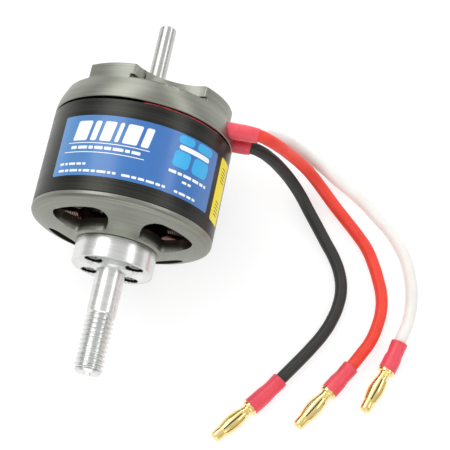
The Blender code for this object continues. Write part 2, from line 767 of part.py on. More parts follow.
def make_rear_stop():
    """A thrust washer on the rear bearing's inner race, and the clip that holds it."""
    front = REAR_BEARING - BEARING_WIDTH / 2 - SEAM
    rear = GROOVE[1]
    washer = [(INNER_RACE, front), (INNER_RACE, rear), (SHAFT_BORE, rear), (SHAFT_BORE, front)]
    turned("rear_thrust_washer", washer, STEEL, ROTOR_FRAME, closed=True, sides=SMALL_SIDES)
    arc_band(
        "rear_retaining_clip", CLIP_RADII, CLIP_ANGLES, CLIP, 16, BLACK_STEEL, ROTOR_FRAME
    )


def adapter_profile():
    """Shank and collar, with the thread as a row of crests and roots."""
    points = [(0.0, THREAD_TIP), (SHANK_RADIUS - TIP_CHAMFER, THREAD_TIP)]
    root = SHANK_RADIUS - THREAD_DEPTH
    for i in range(THREAD_CRESTS):
        crest = THREAD_TIP - TIP_CHAMFER - THREAD_PITCH * i
        points.append((SHANK_RADIUS, crest))
        points.append((root, crest - THREAD_PITCH / 2))
    points.append((root, SHANK_END))
    points.append((SHANK_RADIUS, SHANK_END - SHANK_STEP))
    fillet = (SHANK_RADIUS + SHANK_FILLET, COLLAR_FRONT + SHANK_FILLET)
    points += arc(fillet, SHANK_FILLET, 180, 270, 2)
    edge = (COLLAR_RADIUS - COLLAR_ROUND, COLLAR_FRONT - COLLAR_ROUND)
    points += arc(edge, COLLAR_ROUND, 90, 0, 3)
    points += [
        (COLLAR_RADIUS, HUB_FACE + SEAM + EDGE / 2),
        (COLLAR_RADIUS - EDGE / 2, HUB_FACE + SEAM),
        (0.0, HUB_FACE + SEAM),
    ]
    return points


def collar_screw_place(i):
    return polar(COLLAR_SCREW_CIRCLE, 45.0 + 360.0 * i / COLLAR_SCREWS)


def make_prop_adapter():
    adapter = turned("prop_adapter", adapter_profile(), BRIGHT_ALUMINIUM, ROTOR_FRAME, sides=32)
    above = COLLAR_FRONT + MM
    below = HUB_FACE - MM
    for i in range(COLLAR_SCREWS):
        place = collar_screw_place(i)
        bore = rod_cutter(
            f"counterbore_{i}", COUNTERBORE_RADIUS, COUNTERBORE_FLOOR, above, place, ROTOR_FRAME
        )
        hole = rod_cutter(
            f"collar_hole_{i}", SCREW_HOLE, below, COUNTERBORE_FLOOR + MM, place, ROTOR_FRAME
        )
        cut(adapter, bore, hole)
    cut(adapter, rod_cutter("centre_hole", *CENTRE_HOLE, (0, 0), ROTOR_FRAME, 12))


def make_collar_screws():
    under = COUNTERBORE_FLOOR + SEAM
    profile = [
        (0.0, HEAD_FRONT),
        (HEAD_RADIUS - HEAD_BEVEL, HEAD_FRONT),
        (HEAD_RADIUS, HEAD_FRONT - HEAD_BEVEL),
        (HEAD_RADIUS, under),
        (SCREW_RADIUS, under),
        (SCREW_RADIUS, SCREW_TIP + HEAD_BEVEL),
        (SCREW_RADIUS - HEAD_BEVEL, SCREW_TIP),
        (0.0, SCREW_TIP),
    ]
    for i in range(COLLAR_SCREWS):
        place = collar_screw_place(i)
        screw = turned(f"adapter_screw_{i + 1}", profile, STEEL, ROTOR_FRAME, sides=SCREW_SIDES)
        screw.location.x, screw.location.y = place
        floor = HEAD_FRONT - SOCKET_DEPTH
        socket = rod_cutter(
            f"screw_socket_{i}", SOCKET_RADIUS, floor, HEAD_FRONT + MM, place, ROTOR_FRAME, 6
        )
        cut(screw, socket)


def make_labels():
    for name, (start, end, low, high), steps, finish in (
        ("rotor_main_label", MAIN_LABEL, 28, BLUE_FILM),
        ("rotor_side_label", SIDE_LABEL, 4, YELLOW_FILM),
    ):
        radii = (FILM_INNER, FILM_OUTER)
        arc_band(name, radii, (start, end), (low, high), steps, finish, ROTOR_FRAME)


# ---------------------------------------------------------------- leads


def catmull_rom(points, per_span):
    """A smooth line through the route's points."""
    padded = [points[0] * 2 - points[1], *points, points[-1] * 2 - points[-2]]
    line = []
    for i in range(1, len(padded) - 2):
        a, b, c, d = padded[i - 1 : i + 3]
        for k in range(per_span):
            t = k / per_span
            line.append(
                0.5 * (2 * b + (c - a) * t + (2 * a - 5 * b + 4 * c - d) * t**2
                       + (3 * b - a - 3 * c + d) * t**3)
            )
    line.append(points[-1])
    return line


def evenly(line, spacing):
    """Points about the given distance apart along a fine line, with both its ends."""
    lengths = [0.0]
    for a, b in zip(line, line[1:]):
        lengths.append(lengths[-1] + (b - a).length)
    count = max(2, round(lengths[-1] / spacing))
    points = []
    k = 0
    for i in range(count + 1):
        target = lengths[-1] * i / count
        while k < len(line) - 2 and lengths[k + 1] < target:
            k += 1
        share = (target - lengths[k]) / (lengths[k + 1] - lengths[k])
        points.append(line[k].lerp(line[k + 1], min(max(share, 0.0), 1.0)))
    return points


def lead_start(lead):
    return Vector(
        (lead["sleeve_end_x"] + TOUCH, lead["exit_y"], AXIS_HEIGHT + lead["exit_height"])
    )


def sleeve_corners(lead):
    """Start, bend and front end of the plug sleeve."""
    return [Vector((x * MM, y * MM, PLUG_AXIS_HEIGHT)) for x, y in lead["sleeve"]]


def plug_direction(lead):
    bend, front = sleeve_corners(lead)[1:]
    return (front - bend).normalized()


def lead_route(lead):
    """Points from the exit sleeve to the plug sleeve, with a short straight at each end."""
    start = lead_start(lead)
    sleeve, bend = sleeve_corners(lead)[:2]
    inward = (bend - sleeve).normalized()
    end = sleeve - inward * TOUCH
    first = start + Vector((STRAIGHT_END, 0, 0))
    last = end - inward * STRAIGHT_END
    line = catmull_rom([first, *(Vector(p) * MM for p in lead["route"]), last], 12)
    return [start, *evenly(line, ROUTE_SPACING), end]


def tube(name, points, radii, finish):
    """A round bar through the points, with its own radius at each."""
    curve = bpy.data.curves.new(name, "CURVE")
    curve.dimensions = "3D"
    curve.bevel_depth = max(radii)
    curve.bevel_resolution = 2
    curve.use_fill_caps = True
    spline = curve.splines.new("POLY")
    spline.points.add(len(points) - 1)
    for point, place, radius in zip(spline.points, points, radii):
        point.co = (*place, 1.0)
        point.radius = radius / max(radii)
    return link(bpy.data.objects.new(name, curve), finish, None)


def make_lead_wire(colour, lead):
    points = lead_route(lead)
    tube(f"{colour}_lead_wire", points, [LEAD_RADIUS] * len(points), SILICONE[colour])


def aim(obj, place, direction):
    """Puts a turned part's local origin at place and its local +Z along direction."""
    obj.location = place
    obj.rotation_euler = direction.to_track_quat("Z", "Y").to_euler()


def make_exit_sleeve(colour, lead):
    length = lead["sleeve_end_x"] - SLEEVE_START_X
    end = 0.3 * MM
    profile = [
        (0.0, length),
        (SLEEVE_RADIUS - end, length),
        (SLEEVE_RADIUS, length - end),
        (SLEEVE_RADIUS, end),
        (SLEEVE_RADIUS - end, 0.0),
        (0.0, 0.0),
    ]
    sleeve = turned(f"{colour}_exit_sleeve", profile, SHRINK, None, sides=SCREW_SIDES)
    place = Vector((SLEEVE_START_X, lead["exit_y"], AXIS_HEIGHT + lead["exit_height"]))
    aim(sleeve, place, Vector((1, 0, 0)))


def sleeve_radius(share):
    """The plug sleeve's radius at a share of its length: narrower where it grips the wire."""
    for (low, small), (high, large) in zip(PLUG_SLEEVE_SHAPE, PLUG_SLEEVE_SHAPE[1:]):
        if share <= high:
            t = (share - low) / (high - low)
            return PLUG_SLEEVE_RADIUS * (small + (large - small) * t)
    return PLUG_SLEEVE_RADIUS


def make_plug_sleeve(colour, lead):
    """Heat-shrink over the wire's end and the plug's solder cup, bent between them."""
    start, bend, front = sleeve_corners(lead)
    points = [start]
    radii = [sleeve_radius(0.0) - SLEEVE_LIP]
    for i in range(PLUG_SLEEVE_STEPS + 1):
        t = i / PLUG_SLEEVE_STEPS
        first = start + (bend - start).normalized() * SLEEVE_LIP
        last = front + (bend - front).normalized() * SLEEVE_LIP
        points.append((first * (1 - t) + bend * t) * (1 - t) + (bend * (1 - t) + last * t) * t)
        radii.append(sleeve_radius(t))
    points.append(front)
    radii.append(sleeve_radius(1.0) - SLEEVE_LIP)
    tube(f"{colour}_plug_sleeve", points, radii, SHRINK)


def plug_profile():
    """Flange, neck, the bulge of the contact spring and the round nose."""
    flange, flange_end = PLUG_FLANGE
    neck, neck_end = PLUG_NECK
    spring, bulge, spring_end = PLUG_SPRING
    points = [(0.0, PLUG_LENGTH)]
    points += arc((0.0, PLUG_LENGTH - PLUG_NOSE), PLUG_NOSE, 67.5, 0, 3)
    points.append((PLUG_NOSE, spring_end))
    steps = 6
    for i in range(1, steps + 1):
        t = i / steps
        station = spring_end + (neck_end - spring_end) * t
        points.append((spring + (bulge - spring) * math.sin(math.pi * t) ** 1.3, station))
    points += [
        (neck, flange_end + SEAM),
        (flange, flange_end),
        (flange, 0.0),
        (0.0, 0.0),
    ]
    return points


def make_bullet_plug(colour, lead):
    plug = turned(f"{colour}_bullet_plug", plug_profile(), GOLD, None, sides=12)
    front = sleeve_corners(lead)[-1]
    direction = plug_direction(lead)
    aim(plug, front + direction * TOUCH, direction)


def make_leads():
    for colour, lead in LEADS.items():
        make_exit_sleeve(colour, lead)
        make_lead_wire(colour, lead)
        make_plug_sleeve(colour, lead)
        make_bullet_plug(colour, lead)


def shade_round_parts():
    for obj in MOTOR.objects:
        if obj.type == "MESH":
            smooth(obj.data)


def main():
    make_mount_plate()
    make_stator_core()
    make_coils()
    make_bearing("rear", REAR_BEARING)
    make_bearing("front", FRONT_BEARING)
    make_flux_ring()
    make_magnets()
    make_bell_end()
    make_set_screws()
    make_shaft()
    make_rear_stop()
    make_prop_adapter()
    make_collar_screws()
    make_labels()
    make_leads()
    shade_round_parts()


main()
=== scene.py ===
import math
import random

import bmesh
import bpy
from mathutils import Matrix, Vector, noise


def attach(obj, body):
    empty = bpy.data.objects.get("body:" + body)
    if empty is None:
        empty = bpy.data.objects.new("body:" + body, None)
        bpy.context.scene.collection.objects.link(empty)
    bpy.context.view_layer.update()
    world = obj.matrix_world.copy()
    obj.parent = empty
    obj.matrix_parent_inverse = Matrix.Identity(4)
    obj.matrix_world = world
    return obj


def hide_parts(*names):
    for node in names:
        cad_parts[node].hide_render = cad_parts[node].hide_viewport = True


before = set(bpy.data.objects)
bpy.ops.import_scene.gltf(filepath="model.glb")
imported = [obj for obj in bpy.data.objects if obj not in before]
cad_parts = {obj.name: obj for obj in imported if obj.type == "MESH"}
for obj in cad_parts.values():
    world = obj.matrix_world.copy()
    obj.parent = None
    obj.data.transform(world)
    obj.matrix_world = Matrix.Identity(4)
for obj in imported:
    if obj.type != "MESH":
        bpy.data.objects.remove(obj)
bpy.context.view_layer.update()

# Everything but the camera, the cords and the studio is drawn in millimetres and brought into
# the row frame, in metres, at the end.
MM = 0.001
AXIS_HEIGHT = 31.5
ROTOR_ANGLE = 10.4
TO_METRES = Matrix.Scale(MM, 4)
# Local +Z points along the shaft toward the propeller, local +Y points up.
SHAFT = TO_METRES @ Matrix(((1, 0, 0, 0), (0, 0, -1, 0), (0, 1, 0, AXIS_HEIGHT), (0, 0, 0, 1)))
ROTOR = SHAFT @ Matrix.Rotation(-math.radians(ROTOR_ANGLE), 4, "Z")


def linked(name, data):
    obj = bpy.data.objects.new(name, data)
    bpy.context.scene.collection.objects.link(obj)
    return obj


# ---------------------------------------------------------------- camera

CAMERA_PLACE = (0.0677, -0.1692, 0.5166)
CAMERA_VIEW = (-0.0647, 0.3209, -0.9449)
CAMERA_RIGHT = (0.980, 0.1975, 0.0)
CAMERA_LENS = 120.0


def make_camera():
    data = bpy.data.cameras.new("main_camera")
    data.lens = CAMERA_LENS
    data.sensor_width = 36.0
    data.clip_start = 0.01
    data.clip_end = 20.0
    away = -Vector(CAMERA_VIEW).normalized()
    right = Vector(CAMERA_RIGHT).normalized()
    right = (right - away * right.dot(away)).normalized()
    turn = Matrix((right, away.cross(right), away)).transposed()
    camera = linked("main_camera", data)
    camera.matrix_world = Matrix.Translation(CAMERA_PLACE) @ turn.to_4x4()
    bpy.context.scene.camera = camera


make_camera()

# ---------------------------------------------------------------- cords

WIRE_RADIUS = 2.2 * MM
SLEEVE_START_X = 25.0 * MM
WIRE_PAST_SLEEVE = 0.5 * MM
PLUG_AXIS_HEIGHT = 3.2 * MM
INTO_PLUG_SLEEVE = 0.62

# The route of each wire in metres, from its exit sleeve to its plug sleeve, then the start, the
# bend and the front end of its plug sleeve.
LEADS = {
    "black": {
        "exit_y": 27.05 * MM,
        "exit_z": 26.9 * MM,
        "sleeve_end_x": 37.4 * MM,
        "route": (
            (0.0411, 0.0268, 0.0256), (0.0449, 0.0265, 0.0214), (0.0487, 0.0261, 0.0152),
            (0.0530, 0.0244, 0.0094), (0.0573, 0.0211, 0.0052), (0.0613, 0.0166, 0.0029),
            (0.0654, 0.0115, 0.0022), (0.0695, 0.0061, 0.0022), (0.0735, 0.0008, 0.0022),
            (0.0765, -0.0048, 0.0022), (0.0780, -0.0104, 0.0022), (0.0780, -0.0160, 0.0022),
            (0.0768, -0.0219, 0.0022), (0.0746, -0.0277, 0.0022), (0.0713, -0.0337, 0.0022),
            (0.0675, -0.0398, 0.0026),
        ),
        "sleeve": ((0.06275, -0.04715), (0.0591, -0.0529), (0.05465, -0.05855)),
        "length": 0.127,
    },
    "red": {
        "exit_y": 27.0 * MM,
        "exit_z": 39.2 * MM,
        "sleeve_end_x": 40.0 * MM,
        "route": (
            (0.0434, 0.0268, 0.0376), (0.0473, 0.0272, 0.0326), (0.0511, 0.0283, 0.0246),
            (0.0551, 0.0290, 0.0166), (0.0596, 0.0281, 0.0100), (0.0647, 0.0250, 0.0052),
            (0.0699, 0.0206, 0.0029), (0.0751, 0.0160, 0.0022), (0.0801, 0.0113, 0.0022),
            (0.0846, 0.0064, 0.0022), (0.0879, 0.0010, 0.0022), (0.0904, -0.0042, 0.0022),
            (0.0924, -0.0094, 0.0022), (0.0933, -0.0150, 0.0022), (0.0929, -0.0210, 0.0022),
            (0.0915, -0.0270, 0.0022), (0.0891, -0.0322, 0.0026),
        ),
        "sleeve": ((0.0862, -0.0378), (0.0829, -0.0435), (0.0803, -0.0478)),
        "length": 0.138,
    },
    "white": {
        "exit_y": 29.6 * MM,
        "exit_z": 33.2 * MM,
        "sleeve_end_x": 37.5 * MM,
        "route": (
            (0.0420, 0.0318, 0.0304), (0.0464, 0.0349, 0.0216), (0.0515, 0.0361, 0.0146),
            (0.0575, 0.0354, 0.0086), (0.0634, 0.0336, 0.0046), (0.0692, 0.0306, 0.0026),
            (0.0751, 0.0273, 0.0022), (0.0808, 0.0235, 0.0022), (0.0861, 0.0192, 0.0022),
            (0.0912, 0.0150, 0.0022), (0.0954, 0.0103, 0.0022), (0.0988, 0.0053, 0.0022),
            (0.1011, -0.0001, 0.0022), (0.1028, -0.0060, 0.0022), (0.1035, -0.0122, 0.0022),
            (0.1032, -0.0184, 0.0025),
        ),
        "sleeve": ((0.1015, -0.0259), (0.1003, -0.032), (0.0988, -0.0364)),
        "length": 0.136,
    },
}


def sleeve_corners(lead):
    """Start, bend and front end of the plug sleeve."""
    return [Vector((x, y, PLUG_AXIS_HEIGHT)) for x, y in lead["sleeve"]]


def exit_point(lead):
    return Vector((SLEEVE_START_X, lead["exit_y"], lead["exit_z"]))


def wire_points(lead):
    """The wire's line from inside the motor, through both its sleeves, to its plug."""
    middle = (SLEEVE_START_X + lead["sleeve_end_x"]) / 2
    mouth = lead["sleeve_end_x"] + WIRE_PAST_SLEEVE
    start, bend = sleeve_corners(lead)[:2]
    straight = [Vector((x, lead["exit_y"], lead["exit_z"])) for x in (middle, mouth)]
    route = [Vector(p) for p in lead["route"]]
    return [exit_point(lead), *straight, *route, start, start.lerp(bend, INTO_PLUG_SLEEVE)]


def make_wire(colour, lead):
    curve = bpy.data.curves.new(f"{colour}_wire", "CURVE")
    curve.dimensions = "3D"
    curve.resolution_u = 10
    curve.bevel_depth = WIRE_RADIUS
    curve.bevel_resolution = 7
    curve.use_fill_caps = True
    points = wire_points(lead)
    spline = curve.splines.new("BEZIER")
    spline.bezier_points.add(len(points) - 1)
    for knot, place in zip(spline.bezier_points, points):
        knot.co = place
        knot.handle_left_type = "AUTO"
        knot.handle_right_type = "AUTO"
    return linked(f"{colour}_wire", curve)


WIRES = {colour: make_wire(colour, lead) for colour, lead in LEADS.items()}

# ---------------------------------------------------------------- finishes

# Where most values of a noise lie.
NOISE_LOW = 0.3
NOISE_HIGH = 0.7
FINISHES = {}


class Finish:
    """A procedural material. Its coordinates are the row frame's, in metres."""

    def __init__(self, name, roughness, metallic=0.0, **sockets):
        self.material = bpy.data.materials.new(name)
        self.material.use_nodes = True
        self.tree = self.material.node_tree
        self.shader = self.tree.nodes["Principled BSDF"]
        self.shader.inputs["Roughness"].default_value = roughness
        self.shader.inputs["Metallic"].default_value = metallic
        for socket, value in sockets.items():
            self.shader.inputs[socket.replace("_", " ")].default_value = value
        self.place = self.add("ShaderNodeTexCoord").outputs["Object"]
        self.normal = None
        FINISHES[name] = self.material

    def add(self, kind, inputs=None, **settings):
        node = self.tree.nodes.new(kind)
        for key, value in settings.items():
            setattr(node, key, value)
        for key, value in (inputs or {}).items():
            if isinstance(value, bpy.types.NodeSocket):
                self.tree.links.new(value, node.inputs[key])
            else:
                node.inputs[key].default_value = value
        return node

    def math(self, operation, first, second=0.0):
        return self.add("ShaderNodeMath", {0: first, 1: second}, operation=operation).outputs[0]

    def noise(self, scale, detail=4.0, roughness=0.55, vector=None):
        inputs = {
            "Vector": vector or self.place, "Scale": scale, "Detail": detail,
            "Roughness": roughness,
        }
        return self.add("ShaderNodeTexNoise", inputs).outputs["Fac"]

    def axes(self):
        return self.add("ShaderNodeSeparateXYZ", {0: self.place}).outputs

    def stretched(self, along, across):
        """Coordinates for marks that run round the shaft: fine along it, slow round it."""
        x, y, z = self.axes()
        up = self.math("SUBTRACT", z, AXIS_HEIGHT * MM)
        square = self.math("ADD", self.math("MULTIPLY", x, x), self.math("MULTIPLY", up, up))
        radius = self.math("SQRT", square)
        station = self.math("ADD", self.math("MULTIPLY", y, along),
                            self.math("MULTIPLY", x, across))
        ring = self.math("ADD", self.math("MULTIPLY", radius, along),
                         self.math("MULTIPLY", up, across))
        return self.add("ShaderNodeCombineXYZ", {0: station, 1: ring, 2: 0.0}).outputs[0]

    def ramp(self, factor, *stops):
        node = self.add("ShaderNodeValToRGB", {0: factor})
        elements = node.color_ramp.elements
        while len(elements) < len(stops):
            elements.new(0.5)
        for element, (position, colour) in zip(elements, stops):
            element.position = position
            element.color = (*colour, 1.0)
        return node.outputs["Color"]

    def fade(self, factor, first, second):
        return self.ramp(factor, (NOISE_LOW, first), (NOISE_HIGH, second))

    def mix(self, factor, first, second, blend="MIX"):
        inputs = {0: factor, 6: first, 7: second}
        return self.add("ShaderNodeMix", inputs, data_type="RGBA", blend_type=blend).outputs[2]

    def spread(self, value, low, high, start=NOISE_LOW, end=NOISE_HIGH):
        inputs = {0: value, 1: start, 2: end, 3: low, 4: high}
        return self.add("ShaderNodeMapRange", inputs).outputs[0]

    def colour(self, socket):
        self.tree.links.new(socket, self.shader.inputs["Base Color"])

    def rough(self, socket):
        self.tree.links.new(socket, self.shader.inputs["Roughness"])

    def bump(self, height, distance):
        inputs = {"Height": height, "Distance": distance, "Strength": 1.0}
        if self.normal is not None:
            inputs["Normal"] = self.normal
        self.normal = self.add("ShaderNodeBump", inputs).outputs[0]
        self.tree.links.new(self.normal, self.shader.inputs["Normal"])

    def round_tangent(self, amount):
        """Stretches reflections across the turning marks."""
        tangent = self.add("ShaderNodeTangent", direction_type="RADIAL", axis="Y").outputs[0]
        self.tree.links.new(tangent, self.shader.inputs["Tangent"])
        self.shader.inputs["Anisotropic"].default_value = amount

    def edges(self, base, light):
        """Edges rubbed a little lighter."""
        point = self.add("ShaderNodeNewGeometry").outputs["Pointiness"]
        worn = self.spread(point, 0.0, 0.5, 0.52, 0.62)
        return self.mix(worn, base, (*light, 1.0))


def grey(value):
    return value, value, value


def scaled(colour, share):
    return tuple(min(1.0, part * share) for part in colour)


def turned_metal(name, tones, tint, roughness, fine, shine=0.4, bump=0.000003, uneven=1.0):
    """Lathe-turned metal: streaks round the shaft, a little cloudiness and rubbed edges."""
    dark, light = tones
    made = Finish(name, roughness, 1.0)
    marks = made.noise(1.0, 3.0, 0.6, made.stretched(fine, 18.0))
    broad = made.noise(1.0, 2.0, 0.5, made.stretched(fine / 7, 9.0))
    cloud = made.noise(45.0, 5.0, 0.6)
    tone = made.ramp(marks, (0.28, scaled(tint, dark)), (0.72, scaled(tint, light)))
    haze = made.fade(cloud, grey(0.90), grey(1.0))
    bands = made.fade(broad, grey(0.90), grey(1.0))
    base = made.mix(1.0, made.mix(1.0, tone, haze, "MULTIPLY"), bands, "MULTIPLY")
    made.colour(made.edges(base, scaled(tint, light * 1.4)))
    streaks = made.spread(marks, roughness - 0.04 * uneven, roughness + 0.06 * uneven)
    made.rough(made.math("ADD", streaks, made.spread(cloud, -0.03 * uneven, 0.04 * uneven)))
    made.bump(marks, bump)
    made.bump(made.noise(700.0, 2.0), bump / 2)
    made.round_tangent(shine)


def plain_metal(name, colour, roughness, scale=260.0, bump=0.000004, speck=0.8, **sockets):
    """Plated or ground metal without turning marks."""
    made = Finish(name, roughness, 1.0, **sockets)
    cloud = made.noise(scale, 5.0, 0.6)
    fine = made.noise(scale * 7, 3.0, 0.6)
    base = made.ramp(cloud, (0.3, scaled(colour, speck)), (0.65, colour))
    made.colour(made.edges(base, scaled(colour, 1.25)))
    made.rough(made.spread(fine, roughness - 0.04, roughness + 0.08))
    made.bump(fine, bump)


def soft_plastic(name, colour, shade, roughness, scale=380.0, bump=0.00002, **sockets):
    """Silicone, shrink tube, varnish or ink: uneven tone, small dents and a little dust."""
    made = Finish(name, roughness, 0.0, **sockets)
    cloud = made.noise(scale / 4, 4.0, 0.6)
    fine = made.noise(scale * 6, 4.0, 0.65)
    dust = made.spread(fine, 0.0, 0.12, 0.62, 0.75)
    made.colour(made.mix(dust, made.fade(cloud, shade, colour), (0.75, 0.73, 0.70, 1.0)))
    made.rough(made.spread(fine, roughness - 0.06, roughness + 0.12))
    made.bump(made.noise(scale, 3.0), bump)
    made.bump(fine, bump / 5)


def laminations(name, sheet=0.00035):
    """Thin varnished steel sheets stacked along the shaft."""
    made = Finish(name, 0.45, 0.8)
    wave = made.math("SINE", made.math("MULTIPLY", made.axes()[1], math.tau / sheet))
    cloud = made.noise(220.0, 5.0)
    level = made.spread(wave, 0.0, 1.0, -1.0, 1.0)
    base = made.fade(cloud, (0.035, 0.033, 0.031), (0.10, 0.095, 0.09))
    made.colour(made.mix(made.math("MULTIPLY", level, 0.35), base, (0.02, 0.018, 0.017, 1.0)))
    made.rough(made.spread(cloud, 0.38, 0.6))
    made.bump(level, 0.00003)


def label_film(name, left, right, edge_x, roughness, coat):
    """Printed film, its tone running from one side of the motor to the other; where the sides
    differ, the lighter side is a painted sheen.
    """
    made = Finish(name, roughness, 0.0, Coat_Weight=coat, Coat_Roughness=0.12)
    inputs = {0: made.axes()[0], 1: edge_x[0], 2: edge_x[1]}
    across = made.add("ShaderNodeMapRange", inputs).outputs[0]
    cloud = made.noise(300.0, 4.0)
    middle = tuple((a + b) / 2 for a, b in zip(left, right))
    base = made.ramp(across, (0.0, left), (0.35, middle), (0.8, right))
    made.colour(made.mix(1.0, base, made.fade(cloud, grey(0.95), grey(1.0)), "MULTIPLY"))
    made.rough(made.spread(made.noise(1500.0, 3.0), roughness - 0.02, roughness + 0.03))
    made.bump(cloud, 0.000001)


def make_metals():
    turned_metal("titanium_anodised", (0.23, 0.35), (0.97, 1.0, 0.86), 0.33, 2300.0, 0.55)
    turned_metal("smoked_steel", (0.034, 0.060), (1.0, 1.0, 0.92), 0.32, 1500.0)
    smooth = {"bump": 0.0000005, "uneven": 0.4}
    turned_metal("bright_aluminium", (0.77, 0.81), (0.99, 1.0, 0.98), 0.25, 2600.0, **smooth)
    turned_metal("ground_steel", (0.54, 0.58), (1.0, 1.0, 0.97), 0.25, 3200.0, **smooth)
    # Steel for the cap screws: its own tone, darkened further as painted shade of the recesses
    # the heads sit in.
    plain_metal("screw_steel_and_shade", (0.26, 0.26, 0.25), 0.26)
    # Painted shade: a near-black finish for the lining of the screw recesses.
    plain_metal("recess_painted_shade", (0.030, 0.030, 0.030), 0.5, speck=0.6)
    plain_metal("black_oxide_steel", (0.055, 0.055, 0.058), 0.42, speck=0.6)
    laminations("lamination_steel")
    plain_metal("enamelled_copper", (0.23, 0.080, 0.052), 0.28, 500.0, 0.00001, 0.40,
                Coat_Weight=0.6, Coat_Roughness=0.12)
    plain_metal("nickel_plate", (0.62, 0.60, 0.56), 0.3)
    plain_metal("gold_plate", (1.0, 0.78, 0.34), 0.19, 420.0, 0.0000006, 0.92)
    # A darkened copy of the gold plate: painted shade for the pin inside each plug's leaves.
    plain_metal("gold_plate_shaded", (0.34, 0.19, 0.055), 0.35, 420.0, 0.000003, 0.6)


def make_plastics():
    # Enamel for the lead-outs: red, painted far brighter than the coils' enamel as painted
    # light, so the wires show in the shaded gap.
    soft_plastic("enamel_red_painted_bright", (0.88, 0.045, 0.070), (0.20, 0.012, 0.018), 0.28, 1600.0,
                 0.00001, Coat_Weight=0.5, Coat_Roughness=0.12)
    soft_plastic("heat_shrink_red", (0.86, 0.080, 0.115), (0.72, 0.045, 0.075), 0.40, 520.0,
                 0.00003, Coat_Weight=0.1, Coat_Roughness=0.35)
    soft_plastic("silicone_black", (0.022, 0.023, 0.021), (0.011, 0.012, 0.011), 0.47,
                 bump=0.00003)
    soft_plastic("silicone_red", (0.86, 0.050, 0.024), (0.74, 0.032, 0.014), 0.45)
    soft_plastic("silicone_white", (0.86, 0.85, 0.82), (0.78, 0.76, 0.72), 0.46)
    yellow = (0.93, 0.78, 0.006)
    # The blue is painted lighter toward the left, as a painted sheen.
    label_film("blue_film", (0.085, 0.255, 0.55), (0.035, 0.16, 0.47), (-0.024, 0.012), 0.30,
               0.22)
    label_film("yellow_film", yellow, yellow, (0.02, 0.04), 0.42, 0.0)
    ink = {"bump": 0.000005}
    soft_plastic("print_white", (0.90, 0.92, 0.94), (0.82, 0.85, 0.88), 0.35, **ink)
    soft_plastic("print_cyan", (0.035, 0.45, 0.82), (0.03, 0.38, 0.74), 0.33, **ink)
    soft_plastic("print_dark", (0.05, 0.05, 0.045), (0.035, 0.035, 0.03), 0.4, **ink)


make_metals()
make_plastics()

# ---------------------------------------------------------------- shaping


def polar(radius, degrees):
    """A point across the shaft, its angle clockwise from the top, seen from the propeller."""
    turn = math.radians(degrees)
    return radius * math.sin(turn), radius * math.cos(turn)


def rounded(corners, closed=False, steps=4):
    """A profile of (radius, station) from corners of (radius, station, rounding)."""
    line = []
    count = len(corners)
    for i, (radius, station, size) in enumerate(corners):
        here = Vector((radius, station))
        if size == 0 or (not closed and i in (0, count - 1)):
            line.append(here)
            continue
        before = Vector(corners[i - 1][:2]) - here
        after = Vector(corners[(i + 1) % count][:2]) - here
        back = size / math.tan(before.angle(after) / 2)
        back = min(back, before.length * 0.49, after.length * 0.49)
        first = here + before.normalized() * back
        last = here + after.normalized() * back
        for k in range(steps + 1):
            t = k / steps
            line.append(first.lerp(here, t).lerp(here.lerp(last, t), t))
    return line


def mirrored(corners, middle):
    """A ring's corners from those of its rear half, given from its middle station."""
    rear = [(radius, middle + station, size) for radius, station, size in corners]
    front = [(radius, middle - station, size) for radius, station, size in reversed(corners)]
    return rear + front


def divided(line, step=1.5):
    """The profile with points added along its long straights."""
    made = []
    for here, after in zip(line, line[1:] + line[:1]):
        count = max(1, math.ceil((after - here).length / step))
        made += [here.lerp(after, k / count) for k in range(count)]
    return made


def mesh_of(points, faces):
    mesh = bpy.data.meshes.new("mesh")
    mesh.from_pydata(points, [], faces)
    return mesh


def grid_mesh(rows, wrap_rows=False, skip=None):
    """A mesh from rings of vertices, less the faces that skip(row, column) picks out."""
    columns = len(rows[0])
    faces = []
    for i in range(len(rows) if wrap_rows else len(rows) - 1):
        near = i * columns
        far = (i + 1) % len(rows) * columns
        for k in range(columns):
            after = (k + 1) % columns
            if skip is None or not skip(i, k):
                faces.append((near + k, near + after, far + after, far + k))
    return mesh_of([p for row in rows for p in row], faces)


def tidy(mesh, join=0.0005):
    """Joins points that meet and turns every face outward."""
    shape = bmesh.new()
    shape.from_mesh(mesh)
    bmesh.ops.remove_doubles(shape, verts=shape.verts, dist=join)
    bmesh.ops.dissolve_degenerate(shape, edges=shape.edges, dist=join / 10)
    bmesh.ops.recalc_face_normals(shape, faces=shape.faces)
    shape.to_mesh(mesh)
    shape.free()
    return mesh


def lathe(profile, closed=False, sides=144):
    """A solid of revolution about local Z from points (radius, station)."""
    turns = [math.tau * k / sides for k in range(sides)]
    rows = [
        [(radius * math.cos(a), radius * math.sin(a), station) for a in turns]
        for radius, station in profile
    ]
    return tidy(grid_mesh(rows, closed))


def prism(outline, low, high):
    """An outline in local XY, extruded from station low to high."""
    count = len(outline)
    points = [(x, y, z) for z in (low, high) for x, y in outline]
    sides = [(k, (k + 1) % count, count + (k + 1) % count, count + k) for k in range(count)]
    caps = [tuple(range(count)), tuple(range(count, 2 * count))]
    return tidy(mesh_of(points, sides + caps))


def rod(radius, low, high, place=(0, 0), sides=48, top=None):
    """A cylinder along local Z, or a cone where top is another radius."""
    top = radius if top is None else top
    mesh = lathe([(0, low), (radius, low), (top, high), (0, high)], sides=sides)
    return moved(mesh, place)


def moved(mesh, place, station=0.0):
    mesh.transform(Matrix.Translation((*place, station)))
    return mesh


def joined(meshes):
    shape = bmesh.new()
    for mesh in meshes:
        shape.from_mesh(mesh)
    made = bpy.data.meshes.new("mesh")
    shape.to_mesh(made)
    shape.free()
    return made


